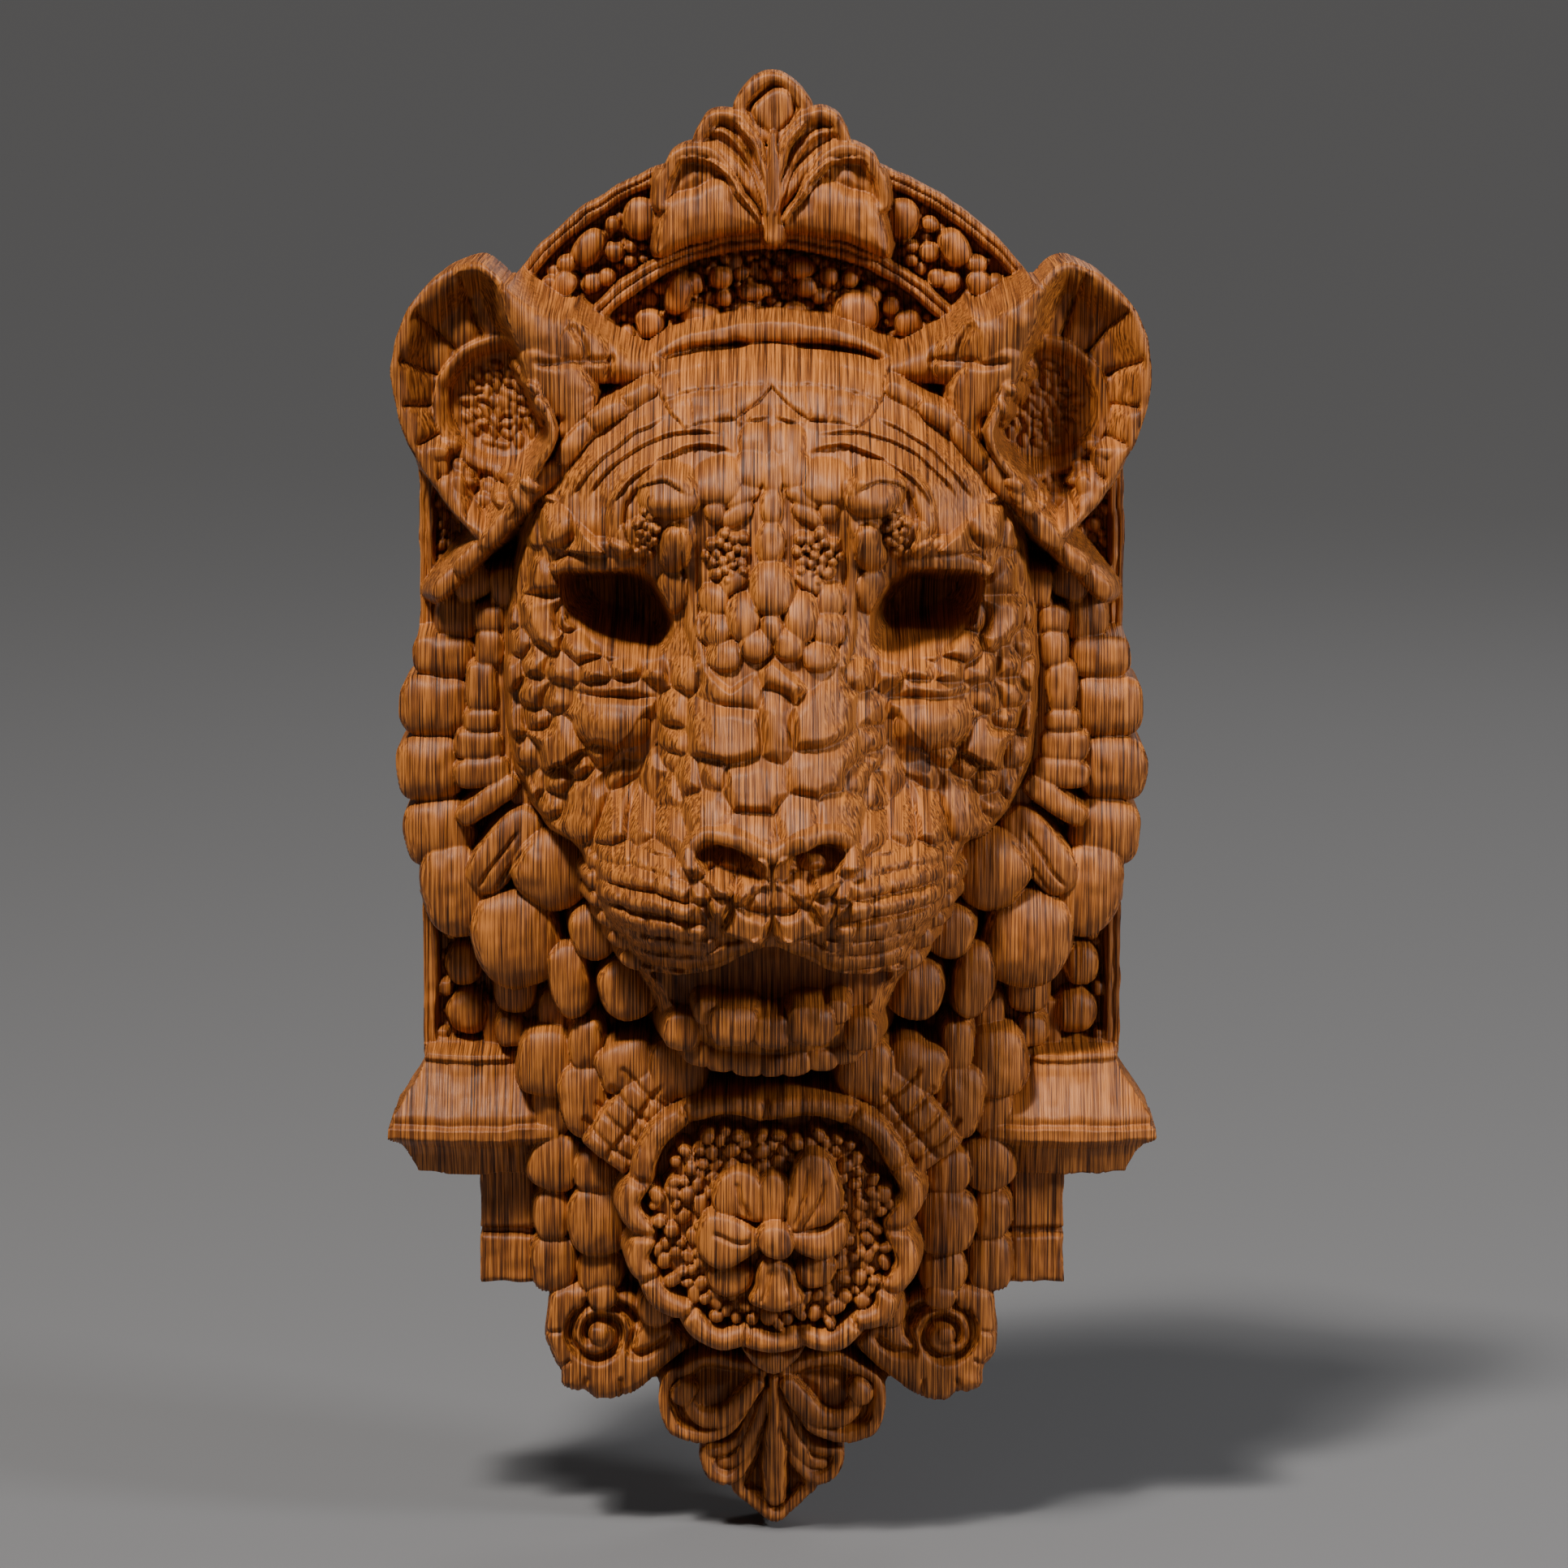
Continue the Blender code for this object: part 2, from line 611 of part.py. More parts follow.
def capital(side, group):
    """A moulded capital with a bowed front, drawn as sections from the neck to the underside."""
    back = buried(BEHIND_WALL)
    bm = bmesh.new()
    rings = []
    for down, wide, out in CAPITAL_SECTIONS:
        half_width = CAPITAL_HALF_WIDTH * wide
        reach = CAPITAL_REACH * out
        z = CAPITAL_TOP_Z - CAPITAL_HEIGHT * down
        ring = [bm.verts.new(point(side * CAPITAL_X - half_width, back, z))]
        for step in range(CAPITAL_STEPS + 1):
            across = 2 * step / CAPITAL_STEPS - 1
            bowed = reach - CAPITAL_BOW * across ** 2
            ring.append(bm.verts.new(point(side * CAPITAL_X + half_width * across, bowed, z)))
        ring.append(bm.verts.new(point(side * CAPITAL_X + half_width, back, z)))
        rings.append(ring)
    bm.faces.new(rings[0])
    for upper, lower in zip(rings, rings[1:]):
        for index in range(len(upper)):
            after = (index + 1) % len(upper)
            bm.faces.new((upper[index], upper[after], lower[after], lower[index]))
    bm.faces.new(rings[-1])
    bmesh.ops.triangulate(bm, faces=bm.faces)
    from_bmesh(f"capital_{side}", bm, group)


def post(side, group):
    """A square post under the capital, with a groove across it."""
    top_z = CAPITAL_TOP_Z - CAPITAL_HEIGHT / 2
    centre = side * (CAPITAL_X - POST_INSET)
    half = POST_WIDTH / 2
    core = half - POST_EDGE / 2
    stretches = (
        (half, top_z, POST_GROOVE_Z + POST_GROOVE / 2, POST_REACH, POST_EDGE),
        (half, POST_GROOVE_Z - POST_GROOVE / 2, POST_FOOT_Z, POST_REACH, POST_EDGE),
        (core, top_z, POST_FOOT_Z + POST_EDGE, POST_REACH - POST_GROOVE_DEPTH, 0),
    )
    for index, (half, high, low, reach, edge) in enumerate(stretches):
        outline = rectangle(centre - half, centre + half, low, high)
        slab(f"post_{side}_{index}", outline, buried(BEHIND_WALL), reach, group, edge)


def scalloped(scale_out):
    """The rosette's outline: an oval with lobes, moved in or out by a distance."""
    outline = []
    for step in range(ROSETTE_STEPS):
        angle = 2 * math.pi * step / ROSETTE_STEPS
        wave = abs(math.sin(ROSETTE_LOBES * (angle + math.pi / 2) / 2))
        lobe = ROSETTE_SCALLOP * (wave ** ROSETTE_LOBE_POWER - 1) + scale_out
        outline.append(((ROSETTE_HALF_WIDTH + lobe) * math.cos(angle),
                        ROSETTE_Z + (ROSETTE_HALF_HEIGHT + lobe) * math.sin(angle)))
    return outline


def flower(group):
    """Petals round a bead, with a ring of small beads outside them."""
    for index, (x, z, half_width, half_height, turn, reach) in enumerate(map(sized, FLOWER)):
        boss(f"petal_{index}", x, ROSETTE_Z + z, half_width, half_height, turn, reach, group)
    for step in range(FLOWER_RING):
        angle = 2 * math.pi * (step + 0.5) / FLOWER_RING
        x = (ROSETTE_HALF_WIDTH - FLOWER_RING_INSET) * math.cos(angle)
        z = ROSETTE_Z + (ROSETTE_HALF_HEIGHT - FLOWER_RING_INSET) * math.sin(angle)
        boss(f"flower_bead_{step}", x, z, FLOWER_BEAD, FLOWER_BEAD, math.degrees(angle),
             FLOWER_BEAD_REACH, group)


def volute(side, group):
    """A scroll: a round ground with a ridge that winds in to the eye."""
    ground = oval(side * VOLUTE_X, VOLUTE_Z, VOLUTE_RADIUS, VOLUTE_RADIUS, 0, LEAF_SIDES)
    raised(f"volute_{side}", ground, VOLUTE_GROUND, VOLUTE_DOME, group)
    outer, inner = [], []
    for step in range(VOLUTE_STEPS + 1):
        share = step / VOLUTE_STEPS
        angle = 2 * math.pi * (VOLUTE_START_TURN - VOLUTE_TURNS * share)
        radius = VOLUTE_RADIUS - (VOLUTE_RADIUS - VOLUTE_RIDGE) * share
        for edge, offset in ((outer, 0), (inner, -VOLUTE_RIDGE * (1 - VOLUTE_RIDGE_TAPER * share))):
            edge.append((side * (VOLUTE_X + (radius + offset) * math.cos(angle)),
                         VOLUTE_Z + (radius + offset) * math.sin(angle)))
    slab(f"volute_ridge_{side}", outer + inner[::-1], buried(ROOT_REACH), VOLUTE_REACH, group)


def board(group):
    """The board: straight sides up to the shoulders, then the outer arch."""
    half = BOARD_WIDTH / 2
    spring = math.degrees(math.asin((SHOULDER_Z - ARCH_Z) / ARCH_RADIUS))
    outline = [(-half, BOARD_FOOT_Z), (half, BOARD_FOOT_Z), (half, SHOULDER_Z)]
    outline += arc(ARCH_RADIUS, ARCH_Z, spring, 180 - spring, ARC_STEPS)
    outline.append((-half, SHOULDER_Z))
    return slab(NODE, outline, buried(BEHIND_WALL), BOARD_REACH, group)


def sunk_grounds(group):
    """Cutters for the ground inside the arch and for the side panels."""
    radius = ARCH_RADIUS - ARCH_BAND
    spring = math.degrees(math.asin((SUNK_ARCH_FOOT_Z - ARCH_Z) / radius))
    outline = arc(radius, ARCH_Z, spring, 180 - spring, ARC_STEPS)
    slab("sunk_arch", outline, SUNK_REACH, CLEAR_REACH, group)
    for side in (1, -1):
        outer = BOARD_WIDTH / 2 - EDGE_STRIP
        inner = outer - PANEL_WIDTH
        outline = flipped(rectangle(inner, outer, PANEL_FOOT_Z, PANEL_TOP_Z), side)
        slab(f"sunk_panel_{side}", outline, SUNK_REACH, CLEAR_REACH, group)


def board_beads(group):
    """Beads in the side panels and pebbles inside the arches, all on the sunk ground."""
    panel_x = BOARD_WIDTH / 2 - EDGE_STRIP - PANEL_WIDTH / 2
    for index, (x, up, half_width, half_height, turn, rise) in enumerate(PANEL_BEADS):
        for side in (1, -1):
            boss(f"panel_bead_{index}_{side}", side * (panel_x + x), PANEL_FOOT_Z + up, half_width,
                 half_height, side * turn, SUNK_REACH + rise, group)
    for index, (angle, inset, half_width, half_height, turn, rise) in enumerate(ARCH_PEBBLES):
        x, z = arc(ARCH_RADIUS - inset, ARCH_Z, angle, angle, 1)[0]
        for side in (1, -1):
            boss(f"arch_pebble_{index}_{side}", side * x, z, half_width, half_height, side * turn,
                 SUNK_REACH + rise, group)
    for index, (angle, inset, half_width, half_height, turn, rise) in enumerate(CROWN_PEBBLES):
        x, z = arc(INNER_ARCH_RADIUS - inset, INNER_ARCH_Z, angle, angle, 1)[0]
        boss(f"crown_pebble_{index}", x, z, half_width, half_height, turn, SUNK_REACH + rise, group)


def mouldings(group):
    """The inner arch and the strips inside the side panels."""
    start, end = INNER_ARCH_START, 180 - INNER_ARCH_START
    outer = arc(INNER_ARCH_RADIUS, INNER_ARCH_Z, start, end, ARC_STEPS)
    inner = arc(INNER_ARCH_RADIUS - INNER_ARCH_BAND, INNER_ARCH_Z, end, start, ARC_STEPS)
    slab("inner_arch", outer + inner, buried(ROOT_REACH), INNER_ARCH_REACH, group, INNER_ARCH_EDGE)
    strip_x = BOARD_WIDTH / 2 - EDGE_STRIP - PANEL_WIDTH
    for side in (1, -1):
        outline = rectangle(strip_x - INNER_STRIP, strip_x, PANEL_FOOT_Z, INNER_STRIP_TOP_Z)
        slab(f"inner_strip_{side}", flipped(outline, side), buried(ROOT_REACH), INNER_STRIP_REACH, group)


def main():
    clear_scene()
    finished = new_collection(NODE)
    carving = board(finished)

    sunk = new_collection("sunk_grounds")
    sunk_grounds(sunk)
    combine(carving, sunk, "DIFFERENCE")

    sheet = fit_face()
    relief = new_collection("relief")
    slab("backing", mirrored(drawn(BACKING_OUTLINE)), buried(BEHIND_WALL), BACKING_REACH, relief)
    mouldings(relief)
    board_beads(relief)
    head_block(sheet, relief)
    for side in (1, -1):
        capital(side, relief)
        post(side, relief)
        ear(side, relief)
        volute(side, relief)
        ground = flipped(drawn(MANE_GROUND), side)
        slab(f"mane_ground_{side}", ground, buried(ROOT_REACH), MANE_GROUND_REACH * PART, relief)
    cord_beads(relief)
    boss_pairs("fringe", FRINGE, relief)
    boss_pairs("inner_ring", INNER_RING, relief)
    boss_pairs("scale", HANGING_SCALES, relief)
    boss_pairs("side_bead", SIDE_BEADS, relief)
    boss_pairs("volute_lobe", VOLUTE_LOBES, relief)
    boss_pairs("ear_centre", (EAR_CENTRE,), relief)
    boss_pairs("top_leaf", TOP_LEAVES, relief, LEAF_SIDES)
    boss_pairs("pendant_leaf", PENDANT_LEAVES, relief, LEAF_SIDES)
    boss_pairs("rosette_lip", ROSETTE_LIP, relief, LEAF_SIDES)
    for side in (1, -1):
        outline = flipped(drawn(STRAP_OUTLINE), side)
        raised(f"strap_{side}", outline, STRAP_REACH * PART, PLATE_DOME * PART, relief)
    raised("nose", mirrored(drawn(NOSE_OUTLINE)), NOSE_REACH * PART, PLATE_DOME * PART, relief)
    nose_bridge(sheet, relief)
    for name, rows in (("brow", BROW_PLATES), ("lid", LID_PLATES), ("root_bead", ROOT_BEADS),
                       ("cheek", CHEEK_PLATES), ("chin_bead", CHIN_BEADS)):
        face_bosses(sheet, name, rows, relief)
    slab("rosette", scalloped(0), buried(ROOT_REACH), ROSETTE_REACH, relief)
    combine(carving, relief, "UNION")

    hollows = new_collection("hollows")
    slab("rosette_floor", scalloped(-ROSETTE_BORDER), ROSETTE_FLOOR, CLEAR_REACH, hollows)
    slab("mouth", mirrored(drawn(MOUTH_OUTLINE)), MOUTH_FLOOR * PART, CLEAR_REACH, hollows)
    for name, hollow, sides in (("eye", EYE_SOCKET, 12), ("nostril", NOSTRIL, BOSS_SIDES)):
        x, z, half_width, half_height, turn, floor = sized(hollow)
        for side in (1, -1):
            outline = oval(side * x, z, half_width, half_height, side * turn, sides)
            slab(f"{name}_{side}", outline, floor, CLEAR_REACH, hollows)
    combine(carving, hollows, "DIFFERENCE")

    fillings = new_collection("fillings")
    flower(fillings)
    combine(carving, fillings, "UNION")

    wall = new_collection("wall")
    outline = rectangle(-CLEAR_REACH, CLEAR_REACH, -2 * CLEAR_REACH, 2 * CLEAR_REACH)
    slab("wall_plane", outline, -CLEAR_REACH, 0, wall)
    combine(carving, wall, "DIFFERENCE")
    thin_facets(carving)

    wood = bpy.data.materials.new("carved_wood")
    wood.use_nodes = True
    shader = wood.node_tree.nodes["Principled BSDF"]
    shader.inputs["Base Color"].default_value = WOOD_COLOUR
    shader.inputs["Roughness"].default_value = WOOD_ROUGHNESS
    shader.inputs["Metallic"].default_value = 0.0
    carving.data.materials.clear()
    carving.data.materials.append(wood)
    carving.hide_render = False
    carving.display_type = "TEXTURED"


main()
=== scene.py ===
"""Looks of the tiger head relief: the carving as fine meshes, its wood, the floor and the light.

The carving is shaped on a grid over the wall plane, which holds how far out from the wall each
point reaches. Lengths are millimetres until the meshes are made. x runs to the right and z up,
both from the middle of the carving. Places are read from the photograph as pixels of its
1932 by 1932 frame, and spot() turns a pixel and a reach into x and z. Tables in pixels give the
left half, and what lies off the middle line is mirrored.
"""
import math

import bpy
import numpy as np
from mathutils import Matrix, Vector

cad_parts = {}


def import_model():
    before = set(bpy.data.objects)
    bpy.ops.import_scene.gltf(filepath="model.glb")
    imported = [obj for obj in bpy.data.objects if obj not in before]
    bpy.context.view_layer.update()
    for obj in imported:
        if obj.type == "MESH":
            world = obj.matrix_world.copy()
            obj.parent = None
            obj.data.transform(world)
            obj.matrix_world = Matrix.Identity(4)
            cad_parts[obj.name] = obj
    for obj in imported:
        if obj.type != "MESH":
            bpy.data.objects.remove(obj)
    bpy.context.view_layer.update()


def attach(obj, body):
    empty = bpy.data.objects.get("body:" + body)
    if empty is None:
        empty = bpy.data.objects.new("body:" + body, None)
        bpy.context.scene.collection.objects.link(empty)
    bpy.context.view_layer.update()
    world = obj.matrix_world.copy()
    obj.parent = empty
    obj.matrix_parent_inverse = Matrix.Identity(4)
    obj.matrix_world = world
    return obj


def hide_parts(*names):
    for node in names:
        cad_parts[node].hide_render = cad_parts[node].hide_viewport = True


MM = 0.001
NODE = "tiger_head_relief"

# The photograph's camera
PHOTO_SIZE = 1932
FOCAL_PIXELS = 7800.0
SENSOR = 36.0
CAMERA_PITCH = math.radians(8.0)
CAMERA_DISTANCE = 2600.0
TARGET_X = 5.0
TARGET_REACH = 20.0
TARGET_Z = 5.0
AXIS_PIXEL = 951.5

# Grid, and the slope of the walls beside each form
CELL_X = 0.5
CELL_Z = 0.72
LOW_X, HIGH_X = -160.0, 160.0
LOW_Z, HIGH_Z = -306.0, 300.0
WALL_SLOPE = 10.0
FAR = 99.0

# Unevenness left by the carver: how far edges wander, how high the marks are, and their lengths
WANDER = 0.55
WANDER_LENGTH = 7.0
TOOL_MARKS = 0.5
MARK_LENGTH = 5.0

# Board, arches and side strips
BOARD_HALF_WIDTH = 143.5
BOARD_FOOT_Z = -106.0
SUNK_REACH = 14.0
SHOULDER_Z = 150.0
ARCH_RADIUS = 131.0
ARCH_Z = 134.5
INNER_ARCH_RADIUS = 102.0
INNER_ARCH_Z = 129.6
PANEL_INNER_X = 112.0
PANEL_OUTER_X = 138.0
PANEL_FOOT_Z = -101.0
PANEL_TOP_Z = 130.0

# Capitals and posts
CAPITAL_X = 122.4
CAPITAL_TOP_Z = -104.0
CAPITAL_BOW = 6.0
POST_X = 109.4
POST_HALF_WIDTH = 10.9
POST_FOOT_Z = -201.0

# Cross sections of the face: height, then pairs of distance from the middle line and reach
FACE_SECTIONS = (
    (194, ((0, 40), (25, 41), (48, 44))),
    (185, ((0, 60), (26, 59), (52, 57))),
    (174, ((0, 76), (28, 75), (58, 68), (80, 62))),
    (152, ((0, 93), (30, 90), (62, 81), (90, 68))),
    (130, ((0, 104), (20, 104), (40, 101), (64, 92), (90, 76))),
    (108, ((0, 110), (17, 106), (38, 99), (62, 92), (84, 82), (102, 64))),
    (86, ((0, 116), (20, 110), (36, 97), (60, 84), (88, 74), (106, 61))),
    (64, ((0, 121), (24, 116), (38, 99), (62, 89), (86, 77), (108, 60))),
    (36, ((0, 128), (28, 122), (41, 101), (62, 91), (86, 75), (107, 60))),
    (10, ((0, 136), (30, 128), (45, 104), (68, 87), (98, 62))),
    (-6, ((0, 143), (24, 140), (36, 127), (56, 108), (78, 80))),
    (-28, ((0, 140), (22, 138), (44, 127), (62, 112), (76, 94))),
    (-48, ((0, 130), (28, 128), (50, 113), (60, 98))),
    (-62, ((0, 112), (30, 108), (48, 94))),
    (-82, ((0, 113), (24, 109), (42, 95))),
    (-98, ((0, 98), (20, 94), (40, 84))),
)
FACE_SMOOTH = 0.4
HEAD_OUTLINE = (
    (0, 193), (16, 193), (48, 182), (74, 159), (86, 141), (98, 121), (104, 98), (108, 70),
    (108, 46), (106, 22), (100, 7), (90, -7), (78, -13), (72, -21), (70, -31), (65, -41), (59, -51),
    (55, -60), (49, -70), (44, -81), (36, -91), (23, -98), (0, -100),
)


def spot(px, py, reach):
    """x and z of the point that the photograph shows at a pixel, at a given reach."""
    cosine, sine = math.cos(CAMERA_PITCH), math.sin(CAMERA_PITCH)
    across = (px - PHOTO_SIZE / 2) / FOCAL_PIXELS
    up = (PHOTO_SIZE / 2 - py) / FOCAL_PIXELS
    inward = cosine + up * sine
    rise = -sine + up * cosine
    travel = (CAMERA_DISTANCE * cosine + TARGET_REACH - reach) / inward
    return TARGET_X + travel * across, TARGET_Z + CAMERA_DISTANCE * sine + travel * rise


def pixel_size(reach):
    """Length on the carving of one pixel of the photograph."""
    return (CAMERA_DISTANCE + TARGET_REACH - reach) / FOCAL_PIXELS


def spots(pixels, reach):
    return [spot(px, py, reach) for px, py in pixels]


def mirrored(half):
    return list(half) + [(-x, z) for x, z in reversed(half) if x > 0]


def flipped(points):
    return [(-x, z) for x, z in points]


# How a line of the left half is placed on either side
HALVES = (list, flipped)


def joined(half):
    """A line that ends on the middle line, with its mirror image run on from there."""
    return half + flipped(half[:-1])[::-1]


def curve_through(points, steps, closed):
    """A smooth curve through the points, open or closed."""
    count = len(points)
    spans = count if closed else count - 1
    curve = []
    for i in range(spans):
        near = [(i + k) % count if closed else min(max(i + k, 0), count - 1) for k in (-1, 0, 1, 2)]
        a, b, c, d = (np.array(points[k], float) for k in near)
        for step in range(steps):
            t = step / steps
            place = 2 * b + (c - a) * t + (2 * a - 5 * b + 4 * c - d) * t * t
            curve.append(tuple((place + (3 * b - a - 3 * c + d) * t ** 3) / 2))
    if not closed:
        curve.append(tuple(map(float, points[-1])))
    return curve


def smooth_outline(pixels, reach):
    """A closed smooth curve through places of the photograph."""
    return curve_through(spots(pixels, reach), 4, True)


def smooth_line(pixels, reach, steps=6):
    """An open smooth curve through places of the photograph."""
    return curve_through(spots(pixels, reach), steps, False)


def polygon_distance(x, z, points):
    """How far outside a polygon each point lies, negative inside."""
    nearest = np.full(x.shape, 1e9)
    inside = np.zeros(x.shape, bool)
    for (ax, az), (bx, bz) in zip(points, list(points[1:]) + [points[0]]):
        ex, ez = bx - ax, bz - az
        wx, wz = x - ax, z - az
        share = np.clip((wx * ex + wz * ez) / (ex * ex + ez * ez + 1e-12), 0, 1)
        nearest = np.minimum(nearest, (wx - ex * share) ** 2 + (wz - ez * share) ** 2)
        if abs(ez) > 1e-9:
            inside ^= ((az > z) != (bz > z)) & (x < ax + (z - az) * ex / ez)
    distance = np.sqrt(nearest)
    return np.where(inside, -distance, distance)


def path_distance(x, z, points):
    """Distance from a line of points, the share of its length nearest by, and the side."""
    nearest = np.full(x.shape, 1e18)
    along = np.zeros(x.shape)
    side = np.zeros(x.shape)
    lengths = [math.dist(a, b) for a, b in zip(points, points[1:])]
    done = 0.0
    for (ax, az), (bx, bz), length in zip(points, points[1:], lengths):
        ex, ez = bx - ax, bz - az
        wx, wz = x - ax, z - az
        share = np.clip((wx * ex + wz * ez) / (length * length + 1e-12), 0, 1)
        squared = (wx - ex * share) ** 2 + (wz - ez * share) ** 2
        closer = squared < nearest
        nearest = np.where(closer, squared, nearest)
        along = np.where(closer, done + share * length, along)
        side = np.where(closer, np.sign(ex * wz - ez * wx), side)
        done += length
    return np.sqrt(nearest), along / done, side


def eased(value):
    value = np.clip(value, 0, 1)
    return value * value * (3 - 2 * value)


def rounded(share):
    """A quarter circle: 0 at the edge and 1 a full share inside it."""
    share = np.clip(share, 0, 1)
    return np.sqrt(np.maximum(1 - (1 - share) ** 2, 0))


def oval_distance(x, z, x0, z0, half_width, half_height, turn, power=2.3):
    """Size of a turned oval through each point, as a share of the named one."""
    lean = math.radians(turn)
    u = ((x - x0) * math.cos(lean) + (z - z0) * math.sin(lean)) / half_width
    v = ((z - z0) * math.cos(lean) - (x - x0) * math.sin(lean)) / half_height
    return (np.abs(u) ** power + np.abs(v) ** power) ** (1 / power)


def smooth_noise(draws, shape, length):
    """Smooth hills and dips over the grid, from -1 to 1 and about a given length across."""
    rows = np.arange(shape[0]) * CELL_Z / length
    columns = np.arange(shape[1]) * CELL_X / length
    coarse = draws.uniform(-1, 1, (int(rows[-1]) + 2, int(columns[-1]) + 2))
    row, column = rows.astype(int), columns.astype(int)
    down = eased(rows - row)[:, None]
    over = eased(columns - column)
    high = coarse[row][:, column] * (1 - over) + coarse[row][:, column + 1] * over
    low = coarse[row + 1][:, column] * (1 - over) + coarse[row + 1][:, column + 1] * over
    return high * (1 - down) + low * down


class Relief:
    """The carved surface: the reach of each grid point, and how far outside the outline it lies."""

    def __init__(self):
        self.x = np.arange(LOW_X, HIGH_X + CELL_X / 2, CELL_X)
        self.z = np.arange(LOW_Z, HIGH_Z + CELL_Z / 2, CELL_Z)
        shape = (len(self.z), len(self.x))
        self.reach = np.zeros(shape)
        self.outside = np.full(shape, FAR)
        draws = np.random.RandomState(88)
        self.wander_x = WANDER * smooth_noise(draws, shape, WANDER_LENGTH)
        self.wander_z = WANDER * smooth_noise(draws, shape, WANDER_LENGTH)

    def patch(self, low_x, high_x, low_z, high_z):
        """The grid points in a box: their slices, and their x and z."""
        first, last = np.searchsorted(self.x, (low_x, high_x))
        bottom, top = np.searchsorted(self.z, (low_z, high_z))
        x, z = np.meshgrid(self.x[first:last], self.z[bottom:top])
        window = (slice(bottom, top), slice(first, last))
        return window, x + self.wander_x[window], z + self.wander_z[window]

    def at(self, x, z):
        """The reach of the grid point next to a place."""
        return self.reach[np.searchsorted(self.z, z), np.searchsorted(self.x, x)]

    def patch_at(self, x0, z0, margin):
        return self.patch(x0 - margin, x0 + margin, z0 - margin, z0 + margin)

    def patch_round(self, points, margin):
        xs = [x for x, z in points]
        zs = [z for x, z in points]
        return self.patch(min(xs) - margin, max(xs) + margin, min(zs) - margin, max(zs) + margin)

    def raise_to(self, window, top, outside):
        """Join a shape: its top inside its edge, and a steep wall outside it."""
        walled = top - WALL_SLOPE * np.maximum(outside, 0)
        self.reach[window] = np.maximum(self.reach[window], walled)
        self.outside[window] = np.minimum(self.outside[window], outside)

    def sink_to(self, window, floor, outside):
        """Cut a shape: down to its floor inside its edge, with a steep wall outside it."""
        walled = floor + WALL_SLOPE * np.maximum(outside, 0)
        self.reach[window] = np.minimum(self.reach[window], walled)

    def plate(self, points, reach, edge=1.5, crown=0.0, crown_width=8.0):
        """A flat shape with a rounded edge, which may swell towards its middle."""
        window, x, z = self.patch_round(points, reach / WALL_SLOPE + 2)
        outside = polygon_distance(x, z, points)
        top = reach - edge * (1 - rounded(-outside / edge))
        top = top - crown * (1 - rounded(-outside / crown_width))
        self.raise_to(window, top, outside)

    def bead(self, x0, z0, half_width, half_height, turn, reach, dome=None, power=2.3):
        """A rounded lump on an oval that is squarer with a higher power."""
        small = min(half_width, half_height)
        dome = 0.75 * small if dome is None else dome
        margin = max(half_width, half_height) * 1.3 + reach / WALL_SLOPE
        window, x, z = self.patch_at(x0, z0, margin)
        r = oval_distance(x, z, x0, z0, half_width, half_height, turn, power)
        top = reach - dome * (1 - np.sqrt(np.clip(1 - r * r, 0, 1)))
        self.raise_to(window, top, (r - 1) * small)

    def leaf(self, line, widths, reaches, dome, ribs=0, rib_depth=0.7):
        """A lobe along a line: half widths and reaches are spread evenly from its root to its tip."""
        window, x, z = self.patch_round(line, max(widths) + max(reaches) / WALL_SLOPE + 2)
        distance, along, _ = path_distance(x, z, line)
        width = np.interp(along, np.linspace(0, 1, len(widths)), widths)
        axis = np.interp(along, np.linspace(0, 1, len(reaches)), reaches)
        share = np.clip(distance / width, 0, 1)
        top = axis - dome * (1 - np.sqrt(1 - share * share))
        if ribs:
            top = top - rib_depth * np.abs(np.sin(np.pi * ribs * share)) ** 6
        self.raise_to(window, top, distance - width)

    def shell(self, points, reach, rim, hollow):
        """A leaf with a raised rim that follows its outline, and a hollow inside it."""
        window, x, z = self.patch_round(points, reach / WALL_SLOPE + 2)
        outside = polygon_distance(x, z, points)
        steps = (0, 0.8, rim / 2, rim, rim + 2.5, rim + 9)
        rises = (-1.8, -0.4, 0, -0.8, -hollow, -0.6 * hollow)
        self.raise_to(window, reach + np.interp(-outside, steps, rises), outside)

    def lift(self, points, rise, edge):
        """Raise what is there inside an outline, with a rounded edge."""
        window, x, z = self.patch_round(points, 2)
        self.reach[window] += rise * rounded(-polygon_distance(x, z, points) / edge)

    def ridge(self, points, width, rise):
        """A rounded rib laid on what is there, along a line of points."""
        window, x, z = self.patch_round(points, width)
        distance, along, _ = path_distance(x, z, points)
        strength = eased(np.minimum(along, 1 - along) * 8 + 0.3)
        profile = np.sqrt(np.clip(1 - (distance / (width / 2)) ** 2, 0, 1))
        self.reach[window] += rise * strength * profile

    def pleat(self, points, width, rise, upper):
        """Lift one side of a line, so that it laps over the other; the lift fades away from it."""
        window, x, z = self.patch_round(points, width)
        distance, along, side = path_distance(x, z, points)
        strength = eased(np.minimum(along, 1 - along) * 5 + 0.1)
        share = np.where(side == upper, 1 - distance / width, 1 - distance / 1.4)
        self.reach[window] += rise * strength * np.clip(share, 0, 1)

    def groove(self, points, width, depth, taper=True):
        """A rounded cut into what is there, along a line of points."""
        window, x, z = self.patch_round(points, width * 1.5)
        distance, along, _ = path_distance(x, z, points)
        strength = eased(np.minimum(along, 1 - along) * 6 + 0.1) if taper else 1.0
        self.reach[window] -= depth * strength * np.exp(-(distance / (width / 2)) ** 2)


# What is centred closer to the middle line than this, in pixels, has no mirror image
ON_AXIS = 6


